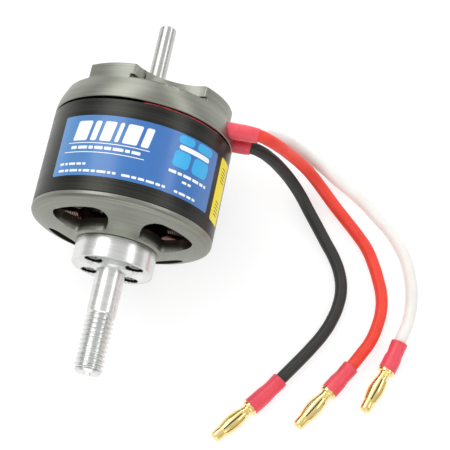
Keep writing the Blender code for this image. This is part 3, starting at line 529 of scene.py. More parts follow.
def eased(obj, width, steps, angle):
    """Gives the object's edges that are sharper than the angle a small rounding."""
    bevel = obj.modifiers.new("edge", "BEVEL")
    bevel.width = width
    bevel.segments = steps
    bevel.limit_method = "ANGLE"
    bevel.angle_limit = math.radians(angle)
    return bevel


def baked(obj, *tools):
    """The object's mesh with its modifiers applied. The objects go."""
    graph = bpy.context.evaluated_depsgraph_get()
    made = bpy.data.meshes.new_from_object(obj.evaluated_get(graph))
    for used in (obj, *tools):
        bpy.data.objects.remove(used)
    return made


def carved(mesh, cutters, edge=0.0, edge_steps=2, weld=0.0):
    """The mesh with the cutters' shapes removed and its sharp edges eased."""
    obj = linked("carved", mesh)
    tools = [linked("tool", cutter) for cutter in cutters]
    for tool in tools:
        cut = obj.modifiers.new("cut", "BOOLEAN")
        cut.operation = "DIFFERENCE"
        cut.solver = "EXACT"
        cut.object = tool
    if weld:
        obj.modifiers.new("weld", "WELD").merge_threshold = weld
    if edge:
        bevel = eased(obj, edge, edge_steps, 40)
        bevel.use_clamp_overlap = False
        bevel.miter_outer = "MITER_ARC"
    return baked(obj, *tools)


def swept(points, radii, sides, closed=False, wobble=None):
    """Rings of vertices round a line that is never steep."""
    rows = []
    count = len(points)
    for i, (place, radius) in enumerate(zip(points, radii)):
        near = points[i - 1] if closed or i else place
        far = points[(i + 1) % count] if closed or i < count - 1 else place
        along = (far - near).normalized()
        side = along.cross(Vector((0, 0, 1))).normalized()
        rise = side.cross(along)
        row = []
        for k in range(sides):
            turn = math.tau * k / sides
            size = radius if wobble is None else wobble(i, turn, radius)
            row.append(place + side * (size * math.cos(turn)) + rise * (size * math.sin(turn)))
        rows.append(row)
    return rows


def ridged(mesh, sides, inside, change):
    """Moves every second point round a turned mesh, where inside(radius, station) holds."""
    for vertex in mesh.vertices:
        x, y, station = vertex.co
        step = round(math.atan2(y, x) / math.tau * sides)
        if step % 2 and inside(math.hypot(x, y), station):
            vertex.co = change(x, y, station)
    return mesh


def piece(name, mesh, matrix, body, finish, stands_for=(), sharp=32.0):
    """Puts a finished mesh into the row frame as a piece of the object."""
    mesh.name = name
    mesh.transform(matrix)
    mesh.shade_smooth()
    mesh.set_sharp_from_angle(angle=math.radians(sharp))
    mesh.materials.clear()
    mesh.materials.append(FINISHES[finish])
    return declared(linked(name, mesh), body, stands_for)


def turned(name, corners, matrix, body, finish, stands_for=(), closed=True, sides=96):
    """A piece turned from the corners of its profile."""
    mesh = lathe(rounded(corners, closed), closed, sides)
    return piece(name, mesh, matrix, body, finish, stands_for)


def declared(obj, body, stands_for):
    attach(obj, body)
    if stands_for:
        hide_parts(*stands_for)
    return obj


def keep_node(node, finish, edge):
    """Shows a CAD node as it is, with its finish and eased edges."""
    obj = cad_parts[node]
    obj.data.materials.clear()
    obj.data.materials.append(FINISHES[finish])
    eased(obj, edge * MM, 2, 30).harden_normals = True


# ---------------------------------------------------------------- stator

# How far a cutter reaches past the face that it opens.
PAST = 1.0
# Points nearer than this are joined, on fine wires and after a cut.
JOIN_FINE = 0.00001
WELD = 0.01
BODY_RADIUS = 31.5
BODY_SIDES = 192
SHAFT_BORE = 3.05
TUBE_BORE = 6.6
TUBE_OUTER = 8.5
SEAT_RADIUS = 7.55
SKIRT_INNER = 28.4
PLATE_REAR_RADIUS = 29.1
PLATE_REAR = -36.0
SKIRT_REAR = -30.9
REAR_SEAT_END = -28.6
PLATE_FLOOR = -27.0
PLATE_FRONT = -22.3
FRONT_SEAT_START = 2.8
TUBE_FRONT = 8.0
REAR_BEARING = -31.2
FRONT_BEARING = 5.4
SCALLOP_ANGLES = (18.3, 111.6, 198.3, 291.6)
RELIEVED_SCALLOPS = (18.3, 198.3)
RELIEF = 1.2
SCALLOP_RADIUS = 17.8
SCALLOP_OFFSET = 38.7
SCALLOP_SIDES = 128
LOBE_ANGLES = (-25.0, 65.0, 155.0, 245.0)
MOUNT_HOLE_CIRCLE = 25.0
MOUNT_HOLE = 1.65
MOUNT_HOLE_DEPTH = 6.0
EXIT_SLEEVE_RADIUS = 2.85
LEAD_BORE = EXIT_SLEEVE_RADIUS + 0.15
LEAD_BORE_REACH = (21.0, 34.0)
# Radius and station along the plate's tapering outer side.
SHOULDER = (
    (31.45, -23.5), (31.3, -24.8), (31.0, -26.2), (30.55, -27.6),
    (30.0, -29.0), (29.5, -30.2), (29.2, -31.0), (29.1, -32.5),
)


def plate_cutters():
    tools = []
    for angle in SCALLOP_ANGLES:
        place = polar(SCALLOP_OFFSET, angle)
        tools.append(rod(SCALLOP_RADIUS, PLATE_REAR - PAST, SKIRT_REAR, place, SCALLOP_SIDES))
    for angle in RELIEVED_SCALLOPS:
        place = polar(SCALLOP_OFFSET, angle)
        tools.append(rod(SCALLOP_RADIUS + RELIEF, SKIRT_REAR - RELIEF, SKIRT_REAR + 0.01, place,
                         SCALLOP_SIDES))
    for angle in LOBE_ANGLES:
        place = polar(MOUNT_HOLE_CIRCLE, angle)
        end = PLATE_REAR + MOUNT_HOLE_DEPTH
        tools.append(rod(MOUNT_HOLE, PLATE_REAR - PAST, end, place, 40))
        tools.append(rod(2.45, PLATE_REAR - 0.2, PLATE_REAR + 0.6, place, 40, 1.6))
    for lead in LEADS.values():
        bore = rod(LEAD_BORE, *LEAD_BORE_REACH, sides=64)
        bore.transform(Matrix.Rotation(math.pi / 2, 4, "Y"))
        height = lead["exit_z"] / MM - AXIS_HEIGHT
        tools.append(moved(bore, (0, height), -lead["exit_y"] / MM))
    return tools


def make_mount_plate():
    corners = [
        (BODY_RADIUS, PLATE_FRONT, 0.4), *((*point, 0) for point in SHOULDER),
        (PLATE_REAR_RADIUS, PLATE_REAR, 0.5), (12.2, PLATE_REAR, 0.15),
        (12.0, PLATE_REAR + 0.25, 0.05), (10.6, PLATE_REAR + 0.25, 0.05),
        (10.4, PLATE_REAR, 0.15), (SEAT_RADIUS + 0.4, PLATE_REAR, 0.05),
        (SEAT_RADIUS, PLATE_REAR + 0.4, 0.05), (SEAT_RADIUS, REAR_SEAT_END, 0),
        (TUBE_BORE, REAR_SEAT_END, 0.2), (TUBE_BORE, FRONT_SEAT_START, 0.2),
        (SEAT_RADIUS, FRONT_SEAT_START, 0), (SEAT_RADIUS, TUBE_FRONT, 0.1),
        (TUBE_OUTER, TUBE_FRONT, 0.2), (TUBE_OUTER, PLATE_FLOOR, 0.5),
        (SKIRT_INNER, PLATE_FLOOR, 0.8), (SKIRT_INNER, PLATE_FRONT, 0.2),
    ]
    solid = lathe(divided(rounded(corners, True)), True, BODY_SIDES)
    mesh = carved(solid, plate_cutters(), 0.08, weld=WELD)
    piece("mount_plate_turned", mesh, SHAFT, "stator", "titanium_anodised", ["mount_plate"])


def make_core():
    keep_node("stator_core", "lamination_steel", 0.12)


def rounded_rectangle(half_width, half_height, corner, steps):
    points = []
    for x, y, start in ((1, 1, 0), (-1, 1, 90), (-1, -1, 180), (1, -1, 270)):
        for k in range(steps + 1):
            turn = math.radians(start + 90 * k / steps)
            points.append((
                x * (half_width - corner) + corner * math.cos(turn),
                y * (half_height - corner) + corner * math.sin(turn),
            ))
    return points


COILS = 12
WIRE_PITCH = 0.80
COIL_INNER = 15.3
COIL_OUTER = 23.6
COIL_MIDDLE = -6.5
COIL_HALF_WIDTH = 4.0
COIL_HALF_LENGTH = 17.3
# How far the inner layer of turns lies under the outer one.
LAYER_DROP = 0.62
TURN_JITTER = 0.03


def coil_turn(reach, drop, sway, rng):
    """One turn of enamelled wire round a tooth, at a distance out along it."""
    inset = drop + WIRE_PITCH / 2
    half = (COIL_HALF_WIDTH - inset, COIL_HALF_LENGTH - inset)
    path = []
    for x, y in rounded_rectangle(*half, 2.1, 5):
        lift = sway * math.copysign(min(abs(y) / half[1], 1.0), y) * WIRE_PITCH
        path.append(Vector((x + rng.uniform(-TURN_JITTER, TURN_JITTER), y, reach + lift)))
    return grid_mesh(swept(path, [WIRE_PITCH / 2] * len(path), 8, True), True)


def make_coils():
    """Two layers of round wire over a solid bundle, wound round each tooth."""
    rng = random.Random(11)
    turns = int((COIL_OUTER - COIL_INNER) / WIRE_PITCH)
    # Along the tooth is local Z while a coil is made. It is turned outward at the end.
    outward = Matrix(((1, 0, 0, 0), (0, 0, 1, 0), (0, 1, 0, COIL_MIDDLE), (0, 0, 0, 1)))
    for i in range(COILS):
        bundle = prism(rounded_rectangle(3.2, 16.5, 2.2, 5), 15.5, 22.5)
        hollow = prism(rounded_rectangle(2.45, 12.25, 0.4, 2), 14.0, 25.0)
        meshes = [carved(bundle, [hollow])]
        for count, start, drop, sway in (
            (turns, 0.62, 0.0, 0.25), (turns - 1, 1.12, LAYER_DROP, -0.25),
        ):
            for k in range(count):
                meshes.append(coil_turn(COIL_INNER + WIRE_PITCH * (k + start), drop, sway, rng))
        mesh = tidy(joined(meshes), JOIN_FINE)
        turn = Matrix.Rotation(-math.tau * i / COILS, 4, "Z")
        piece(f"wound_coil_{i + 1:02d}", mesh, SHAFT @ turn @ outward, "stator",
              "enamelled_copper", [f"stator_coil_{i + 1:02d}"], 60.0)


# Start and end angle and radius of each wire, then what they share.
LEAD_OUTS = ((0.0, 66.0, 30.5), (12.0, 70.0, 29.8), (30.0, 62.0, 29.0))
LEAD_OUT_STEPS = 60
LEAD_OUT_RADIUS = 0.28
LEAD_OUT_STATION = -21.86


def make_lead_outs():
    """Red enamelled wires from the coils, round the edge of the plate to the lead bores. Their
    enamel is painted brighter than the coils', as painted light.
    """
    rng = random.Random(5)
    meshes = []
    for start, end, radius in LEAD_OUTS:
        sway = [rng.uniform(-1, 1) for _ in range(4)]
        path = []
        for i in range(LEAD_OUT_STEPS + 1):
            t = i / LEAD_OUT_STEPS
            inward = max(0.0, 1 - min(t, 1 - t) / 0.09) ** 2
            ripple = sum(a * math.sin(math.pi * (k + 2) * t + a * 5) for k, a in enumerate(sway))
            x, y = polar(radius + 0.22 * ripple - 3.6 * inward, start + (end - start) * t)
            path.append(Vector((x, y, LEAD_OUT_STATION + 0.03 * ripple + 0.2 * inward)))
        meshes.append(grid_mesh(swept(path, [LEAD_OUT_RADIUS] * len(path), 10)))
    piece("winding_lead_outs", tidy(joined(meshes), JOIN_FINE), SHAFT, "stator",
          "enamel_red_painted_bright", sharp=60.0)


# Radius, station from the bearing's middle and rounding, along the rear half of each ring.
OUTER_RACE = (
    (7.5, -2.5, 0.3), (6.9, -2.5, 0.1), (6.8, -2.3, 0.05), (4.65, -2.3, 0.05),
    (4.65, -2.1, 0.05), (6.4, -2.0, 0.1),
)
INNER_RACE = ((4.4, -2.5, 0.15), (SHAFT_BORE, -2.5, 0.25))
CAGE = ((5.7, -0.8, 0.1), (5.1, -0.8, 0.1))
BALLS = 8
BALL_CIRCLE = 5.4
BALL_RADIUS = 0.85


def make_bearing(which, middle):
    for part, corners, matrix, body in (
        ("outer", OUTER_RACE, SHAFT, "stator"), ("inner", INNER_RACE, ROTOR, "rotor"),
    ):
        turned(f"{which}_{part}_race_ground", mirrored(corners, middle), matrix, body,
               "ground_steel", [f"{which}_bearing_{part}_race"])
    meshes = [lathe(rounded(mirrored(CAGE, middle), True), True, 64)]
    for k in range(BALLS):
        ball = lathe([polar(BALL_RADIUS, 180 * t / 10) for t in range(11)], sides=20)
        meshes.append(moved(ball, polar(BALL_CIRCLE, 360.0 * k / BALLS), middle))
    piece(f"{which}_balls_in_cage", joined(meshes), SHAFT, f"{which}_cage", "ground_steel",
          [f"{which}_bearing_ball_cage"])


def make_bearings():
    make_bearing("rear", REAR_BEARING)
    make_bearing("front", FRONT_BEARING)


# ---------------------------------------------------------------- rotor

MAGNETS = 14
RING_INNER = 29.7
RING_REAR = -21.4
RING_FRONT = 11.7
HUB_FACE = 20.0
BELL_REAR = 8.8
HUB_INNER_FACE = 15.0
BOSS_REAR = 8.6
VENT_INNER = 15.4
VENT_OUTER = 26.4
SPOKE_ANGLE = 45.0
SPOKE_HALF = 5.6
VENT_OUTER_CORNER = 4.5
VENT_INNER_CORNER = 2.0
SCREW_HOLE = 1.6
SCREW_PLACES = [polar(9.9, 45.0 + 90.0 * i) for i in range(4)]
SET_SCREW_STATION = 11.8


def make_flux_ring():
    corners = [
        (BODY_RADIUS, RING_FRONT, 0.25), (BODY_RADIUS, RING_REAR, 0.3),
        (RING_INNER, RING_REAR, 0.15), (RING_INNER, RING_FRONT, 0.1),
    ]
    turned("flux_ring_turned", corners, ROTOR, "rotor", "smoked_steel", ["flux_ring"],
           sides=BODY_SIDES)


def make_magnets():
    for i in range(MAGNETS):
        keep_node(f"rotor_magnet_{i + 1:02d}", "nickel_plate", 0.2)


def beside_spoke(reach, fillet):
    """The angle of a fillet's centre, so that the fillet touches the spoke's side."""
    return SPOKE_ANGLE - math.degrees(math.asin((SPOKE_HALF + fillet) / reach))


def arc(centre, radius, start, end, steps):
    points = []
    for k in range(steps + 1):
        x, y = polar(radius, start + k / steps * (end - start))
        points.append((centre[0] + x, centre[1] + y))
    return points


def vent_outline(middle):
    """A vent between two spokes: two arcs round the shaft, joined by rounded corners."""
    spoke_side = SPOKE_ANGLE + 90.0
    outer_reach = VENT_OUTER - VENT_OUTER_CORNER
    inner_reach = VENT_INNER + VENT_INNER_CORNER
    outer = beside_spoke(outer_reach, VENT_OUTER_CORNER)
    inner = beside_spoke(inner_reach, VENT_INNER_CORNER)
    right = [polar(VENT_OUTER, t / 8 * outer) for t in range(8)]
    right += arc(polar(outer_reach, outer), VENT_OUTER_CORNER, outer, spoke_side, 12)
    right += arc(polar(inner_reach, inner), VENT_INNER_CORNER, spoke_side, 180.0 + inner, 8)
    right += [polar(VENT_INNER, t / 4 * inner) for t in (3, 2, 1, 0)]
    left = [(-x, y) for x, y in right]
    turn = Matrix.Rotation(-math.radians(middle), 2)
    return [tuple(turn @ Vector(p)) for p in right + left[-2:0:-1]]


def make_bell():
    corners = [
        (14.6, HUB_FACE, 0.25), (15.2, 19.62, 0.4), (29.57, 14.6, 1.2), (31.05, 13.7, 0.8),
        (BODY_RADIUS, RING_FRONT + 1.2, 0.9), (BODY_RADIUS, RING_FRONT + 0.1, 0.15),
        (29.55, RING_FRONT + 0.1, 0.1), (29.55, BELL_REAR, 0.2), (28.0, BELL_REAR, 0.2),
        (28.0, 11.1, 1.0), (15.0, HUB_INNER_FACE, 0.6), (7.5, HUB_INNER_FACE, 0.6),
        (7.5, BOSS_REAR, 0.2), (4.3, BOSS_REAR, 0.05), (4.3, 8.2, 0.05), (SHAFT_BORE, 8.2, 0.1),
        (SHAFT_BORE, HUB_FACE, 0.1),
    ]
    solid = lathe(divided(rounded(corners, True)), True, BODY_SIDES)
    tools = [prism(vent_outline(45.0 + 90.0 * i), 6.0, 24.0) for i in range(4)]
    tools += [rod(SCREW_HOLE, 14.0, 21.0, place, 32) for place in SCREW_PLACES]
    for angle in (45.0, 135.0):
        hole = rod(1.55, 0.0, 9.0, sides=32)
        hole.transform(Matrix.Rotation(-math.radians(angle), 4, "Z")
                       @ Matrix.Rotation(-math.pi / 2, 4, "X"))
        tools.append(moved(hole, (0, 0), SET_SCREW_STATION))
    mesh = carved(solid, tools, 0.22, 3, weld=WELD)
    piece("bell_end_turned", mesh, ROTOR, "rotor", "titanium_anodised", ["bell_end"])


SHAFT_RADIUS = 3.0
SHAFT_END = -64.5
WASHER_FRONT = -33.8
WASHER_REAR = -34.8
CLIP_GROOVE_END = -35.7


def make_shaft():
    corners = [
        (0, 19.8, 0), (2.5, 19.8, 0.1), (SHAFT_RADIUS, 19.3, 0.15),
        (SHAFT_RADIUS, WASHER_REAR, 0.03), (2.6, WASHER_REAR, 0.05),
        (2.6, CLIP_GROOVE_END, 0.05), (SHAFT_RADIUS, CLIP_GROOVE_END, 0.05),
        (SHAFT_RADIUS, SHAFT_END + 0.6, 0.1), (2.45, SHAFT_END, 0.12), (0.75, SHAFT_END, 0.05),
        (0.6, SHAFT_END + 0.3, 0.02), (0, SHAFT_END + 0.6, 0),
    ]
    turned("motor_shaft_ground", corners, ROTOR, "rotor", "ground_steel", ["motor_shaft"],
           closed=False)
    washer = [
        (4.4, WASHER_FRONT, 0.1), (4.4, WASHER_REAR, 0.1), (SHAFT_BORE, WASHER_REAR, 0.1),
        (SHAFT_BORE, WASHER_FRONT, 0.1),
    ]
    turned("thrust_washer_ground", washer, ROTOR, "rotor", "ground_steel",
           ["rear_thrust_washer"])
    keep_node("rear_retaining_clip", "black_oxide_steel", 0.1)
    for i in (1, 2):
        keep_node(f"bell_set_screw_{i}", "black_oxide_steel", 0.08)


# ---------------------------------------------------------------- propeller adapter

COLLAR_RADIUS = 14.0
COLLAR_REAR = 20.1
COLLAR_FRONT = 27.9
SHANK_RADIUS = 5.0
SHANK_END = 43.6
THREAD_TIP = 64.5
THREAD_PITCH = 1.65
THREAD_DEPTH = 0.85
THREAD_ROOT = SHANK_RADIUS - THREAD_DEPTH
THREAD_STEPS = 12
ADAPTER_SIDES = 144
SERRATION = 0.3
COUNTERBORE = 3.1
COUNTERBORE_FLOOR = 23.6
SCREW_SIDES = 72


def thread_radius(share, station, low, high):
    """The thread's radius at a share of its pitch, fading out at both ends."""
    fade = min((station - low) / 1.2, (high - station) / 0.5, 1.0)
    depth = THREAD_DEPTH * min(max((abs(2 * share - 1) - 0.12) / 0.72, 0.0), 1.0)
    # The crests come down to the root at the tip only. At the shank they run out flush.
    at_tip = station > (SHANK_END + THREAD_TIP) / 2
    crest = SHANK_RADIUS - THREAD_DEPTH * (1 - fade) if at_tip else SHANK_RADIUS
    return max(crest - depth * (0.25 + 0.75 * fade), THREAD_ROOT)


def thread_band():
    """The screw thread: a grid that follows the helix."""
    low = SHANK_END + 0.1
    high = THREAD_TIP - 0.9
    turns = int((high - low) / THREAD_PITCH) + 3
    length = turns * THREAD_STEPS + 1
    points = []
    faces = []
    for k in range(ADAPTER_SIDES):
        share = k / ADAPTER_SIDES
        turn = math.tau * share
        for i in range(length):
            station = low + THREAD_PITCH * (i / THREAD_STEPS + share - 1)
            station = min(max(station, low), high)
            radius = thread_radius(i % THREAD_STEPS / THREAD_STEPS, station, low, high)
            points.append((radius * math.cos(turn), radius * math.sin(turn), station))
        # The last column meets the first one pitch further on.
        last = k == ADAPTER_SIDES - 1
        after, shift = (0, THREAD_STEPS) if last else (k + 1, 0)
        for i in range(length - 1 - shift):
            a = k * length + i
            b = after * length + i + shift
            faces.append((a, b, b + 1, a + 1))
    return tidy(mesh_of(points, faces), 0.001)


def adapter_body():
    core = THREAD_ROOT - 0.05
    corners = [
        (0, THREAD_TIP, 0), (3.9, THREAD_TIP, 0.15), (4.6, THREAD_TIP - 0.8, 0.1),
        (core, THREAD_TIP - 1.3, 0.1), (core, SHANK_END + 0.4, 0.1),
        (SHANK_RADIUS, SHANK_END + 0.1, 0.05), (SHANK_RADIUS, COLLAR_FRONT, 1.0),
        (6.9, COLLAR_FRONT, 0.1), (7.2, COLLAR_FRONT, 0.02), (13.0, COLLAR_FRONT, 0.05),
        (COLLAR_RADIUS, COLLAR_FRONT, 0.3), (COLLAR_RADIUS, COLLAR_REAR, 0.2),
        (0, COLLAR_REAR, 0),
    ]
    return ridged(
        lathe(rounded(corners), sides=ADAPTER_SIDES), ADAPTER_SIDES,
        lambda radius, station: abs(station - COLLAR_FRONT) < 0.1 and 7.0 < radius < 13.4,
        lambda x, y, station: (x, y, station - SERRATION),
    )


def counterbore_lining():
    """A thin dark lining, painted shade that makes the screw recesses look dark."""
    corners = [
        (3.09, 27.55, 0), (3.09, 23.65, 0), (1.7, 23.65, 0), (1.7, 23.62, 0), (3.11, 23.62, 0),
        (3.11, 27.55, 0),
    ]
    return lathe(rounded(corners, True), True, 64)


def make_adapter():
    tools = []
    for place in SCREW_PLACES:
        tools.append(rod(COUNTERBORE, COUNTERBORE_FLOOR, COLLAR_FRONT + 1.1, place, 64))
        tools.append(rod(SCREW_HOLE, COLLAR_REAR - 1.1, COUNTERBORE_FLOOR + PAST, place, 32))
    tools.append(rod(0.6, 60.5, THREAD_TIP + 1.5, sides=32))
    tools.append(rod(0.55, 62.9, THREAD_TIP + 0.4, sides=40, top=2.1))
    mesh = joined([carved(adapter_body(), tools), thread_band()])
    piece("prop_adapter_turned", mesh, ROTOR, "rotor", "bright_aluminium", ["prop_adapter"],
          24.0)
    # Each screw recess gets a dark lining, as painted shade.
    linings = joined([moved(counterbore_lining(), place) for place in SCREW_PLACES])
    piece("counterbore_painted_shade", linings, ROTOR, "rotor", "recess_painted_shade")


def make_collar_screws():
    corners = [
        (0, 27.1, 0), (2.1, 27.1, 0.05), (2.65, 26.6, 0.1), (2.65, 23.7, 0.1),
        (1.45, 23.7, 0), (1.45, 15.8, 0.1), (1.1, 15.5, 0.05), (0, 15.5, 0),
    ]
    for i, place in enumerate(SCREW_PLACES):
        solid = ridged(
            lathe(rounded(corners), sides=SCREW_SIDES), SCREW_SIDES,
            lambda radius, station: radius > 2.2 and 23.8 < station < 27.05,
            lambda x, y, station: (x * 0.92, y * 0.92, station),
        )
        socket = prism([polar(1.45, 60.0 * k + 14.0 * i) for k in range(6)], 25.0, 28.0)
        mouth = rod(1.3, 26.75, 27.25, sides=36, top=1.8)
        mesh = moved(carved(solid, [socket, mouth], 0.04), place)
        # The screws' steel is darkened in part as painted shade of their recesses.
        piece(f"cap_screw_{i + 1}", mesh, ROTOR, "rotor", "screw_steel_and_shade",
              [f"adapter_screw_{i + 1}"])


# ---------------------------------------------------------------- label

FILM_RADIUS = 31.52
FILM_THICKNESS = 0.05
PRINT_THICKNESS = 0.02
# Start and end angle, then the stations between which each label lies.
MAIN_LABEL = (-58.0, 53.0, -15.1, 6.6)
SIDE_LABEL = (59.0, 75.0, -15.6, 7.0)
BEND_STEP = 0.55
SHORTEST_DASH = 0.8
DASH_GAP = 0.55
BAR_GAP = 1.25
# Left, right, station and half height of each rule, then also the dashes' lengths in a row.
RULES = ((4.4, 33.8, -5.05, 0.14), (3.4, 32.6, -1.75, 0.14), (43.3, 56.8, -10.3, 0.85))
DASH_ROWS = (
    (6.0, 31.0, -3.4, 0.55, (2.4, 3.6, 1.6, 3.0)),
    (2.7, 14.3, 2.5, 0.42, (1.8, 1.2, 2.6)),
    (2.8, 24.6, 4.9, 0.42, (2.4, 1.5, 3.1, 1.1)),
    (26.5, 41.4, 5.0, 0.42, (2.8, 1.6, 2.1)),
    (44.8, 55.1, 5.1, 0.42, (1.4, 2.7, 1.9)),
    (41.3, 57.7, -1.2, 0.5, (2.9, 1.7, 3.4)),
    (47.0, 51.8, 1.1, 0.42, (1.9, 1.4)),
)


def rounded_box(left, right, low, high, corner, lean=0.0, steps=5):
    """A rounded rectangle on the unrolled label, its far side leaning along."""
    middle = ((left + right) / 2, (low + high) / 2)
    half = ((right - left) / 2, (high - low) / 2)
    points = rounded_rectangle(*half, min(corner, *half) * 0.999, steps)
    return [(middle[0] + x + lean * y, middle[1] + y) for x, y in points]


def wrapped(outlines, start, inner, thickness):
    """Flat outlines of (distance round, station), bent round the shaft as a thin film."""
    shape = bmesh.new()
    for outline in outlines:
        shape.faces.new([shape.verts.new((u, z, 0.0)) for u, z in outline])
    spans = [u for outline in outlines for u, _ in outline]
    for k in range(int(min(spans) / BEND_STEP), int(max(spans) / BEND_STEP) + 1):
        everything = shape.verts[:] + shape.edges[:] + shape.faces[:]
        bmesh.ops.bisect_plane(
            shape, geom=everything, plane_co=(k * BEND_STEP, 0, 0), plane_no=(1, 0, 0)
        )
    top = bmesh.ops.extrude_face_region(shape, geom=shape.faces[:])
    raised = [v for v in top["geom"] if isinstance(v, bmesh.types.BMVert)]
    bmesh.ops.translate(shape, verts=raised, vec=(0, 0, thickness))
    for vertex in shape.verts:
        u, station, height = vertex.co
        x, y = polar(inner + height, start + math.degrees(u / FILM_RADIUS))
        vertex.co = (x, y, station)
    bmesh.ops.recalc_face_normals(shape, faces=shape.faces)
    mesh = bpy.data.meshes.new("mesh")
    shape.to_mesh(mesh)
    shape.free()
    return mesh


def film(name, span, finish, node):
    start, end, low, high = span
    outline = rounded_box(0.0, math.radians(end - start) * FILM_RADIUS, low, high, 0.8)
    mesh = wrapped([outline], start, FILM_RADIUS, FILM_THICKNESS)
    piece(name, mesh, ROTOR, "rotor", finish, [node])


def dashes(left, right, station, height, lengths):
    """A row of short plain bars, as small print looks from a distance."""
    outlines = []
    u = left
    k = 0
    while u < right - SHORTEST_DASH:
        end = min(u + lengths[k % len(lengths)], right)
        outlines.append(rounded_box(u, end, station - height, station + height, 0.2, 0.0, 2))
        u = end + DASH_GAP
        k += 1
    return outlines


def white_print():
    """Plain slanted bars, rules and dashes."""
    outlines = []
    u = 6.5
    for width in (5.6, 2.2, 4.0, 1.4, 5.0, 2.6):
        outlines.append(rounded_box(u, u + width, -13.0, -5.9, 0.6, -0.16))
        u += width + BAR_GAP
    for left, right, station, half in RULES:
        outlines.append(rounded_box(left, right, station - half, station + half, half, 0.0, 3))
    for row in DASH_ROWS:
        outlines += dashes(*row)
    return outlines


def cyan_print():
    """Two columns of two plain rounded blocks, each column leaning."""
    return [
        rounded_box(left - lean, left + width - lean, low, high, 1.4, -0.1)
        for left, width in ((42.6, 6.4), (50.4, 7.2))
        for lean, low, high in ((0.0, -14.6, -11.6), (0.6, -9.0, -3.2))
    ]


def side_print():
    """Two groups of five plain dark rules along the narrow label."""
    outlines = []
    for low in (-12.6, -0.6):
        for k in range(5):
            station = low + 1.15 * k
            outlines.append(rounded_box(2.4, 6.4, station, station + 0.32, 0.12, 0.0, 2))
    return outlines


def make_labels():
    film("main_label_film", MAIN_LABEL, "blue_film", "rotor_main_label")
    film("side_label_film", SIDE_LABEL, "yellow_film", "rotor_side_label")
    above = FILM_RADIUS + FILM_THICKNESS
    for name, outlines, start, finish in (
        ("main_label_bars", white_print(), MAIN_LABEL[0], "print_white"),
        ("main_label_blocks", cyan_print(), MAIN_LABEL[0], "print_cyan"),
        ("side_label_rules", side_print(), SIDE_LABEL[0], "print_dark"),
    ):
        mesh = wrapped(outlines, start, above, PRINT_THICKNESS)
        piece(name, mesh, ROTOR, "rotor", finish)


# ---------------------------------------------------------------- lead ends

SLEEVE_SIDES = 64
SLEEVE_JOIN = 0.0001
EXIT_STEPS = 48
# How many rings back the hand-cut edge of an exit sleeve reaches, and how far it strays.
RAGGED_RINGS = 6
RAGGED = 0.45
PLUG_STEPS = 72
PLUG_SLEEVE_RADIUS = 3.12
# Share of the plug sleeve's length and share of its full radius.
PLUG_SLEEVE_SHAPE = ((0.0, 0.95), (0.36, 0.90), (0.62, 1.0), (1.0, 1.0))
WIRE_GRIP = 2.24


def shrink(name, rows, node):
    return piece(name, tidy(grid_mesh(rows), SLEEVE_JOIN), TO_METRES, "stator",
                 "heat_shrink_red", [node], 50.0)


def exit_sleeve(colour, lead, seed):
    """Heat-shrink over the wire where it leaves the motor, wrinkled and cut by hand."""
    length = (lead["sleeve_end_x"] - SLEEVE_START_X) / MM
    base = exit_point(lead) / MM
    points = [base + Vector((length * i / EXIT_STEPS, 0, 0)) for i in range(EXIT_STEPS + 1)]
    shift = Vector((seed * 7.3, seed * 3.1, 0.0))

    def wobble(i, turn, radius):
        share = i / EXIT_STEPS
        spot = Vector((math.cos(turn) * 0.9, math.sin(turn) * 0.9, share * 3.0)) + shift
        crease = noise.noise(Vector((turn * 1.3, share * 11.0, seed)))
        grip = 0.10 * max(0.0, share - 0.86) / 0.14
        return radius * (1 + 0.035 * noise.noise(spot) + 0.02 * crease - grip)

    radii = [EXIT_SLEEVE_RADIUS * 0.985] * len(points)
    rows = swept(points, radii, SLEEVE_SIDES, wobble=wobble)
    for k in range(SLEEVE_SIDES):
        turn = math.tau * k / SLEEVE_SIDES
        ragged = noise.noise(Vector((math.cos(turn), math.sin(turn), seed * 2.7)))
        for i in range(1, RAGGED_RINGS + 1):
            rows[-i][k].x += RAGGED * ragged * (RAGGED_RINGS + 1 - i) / RAGGED_RINGS
    inner = []
    for inset, ahead in ((0.12, -0.02), (0.34, 0.06), (0.36, -1.44)):
        ring = []
        for point in rows[EXIT_STEPS]:
            out = Vector((0, point.y - base.y, point.z - base.z))
            ring.append(point - out * (inset / out.length) + Vector((ahead, 0, 0)))
        inner.append(ring)
    return shrink(f"{colour}_exit_shrink", rows + inner, f"{colour}_exit_sleeve")


def sleeve_radius(share):
    for (low, small), (high, large) in zip(PLUG_SLEEVE_SHAPE, PLUG_SLEEVE_SHAPE[1:]):
        if share <= high:
            t = (share - low) / (high - low)
            return PLUG_SLEEVE_RADIUS * (small + (large - small) * t * t * (3 - 2 * t))
    return PLUG_SLEEVE_RADIUS


def inset_ring(ring, centre, inset, shift):
    """The ring drawn in toward its centre, but not into the wire, and moved along."""
    made = []
    for point in ring:
        out = point - centre
        size = max(out.length - inset, WIRE_GRIP)
        made.append(centre + out * (size / out.length) + shift)
    return made


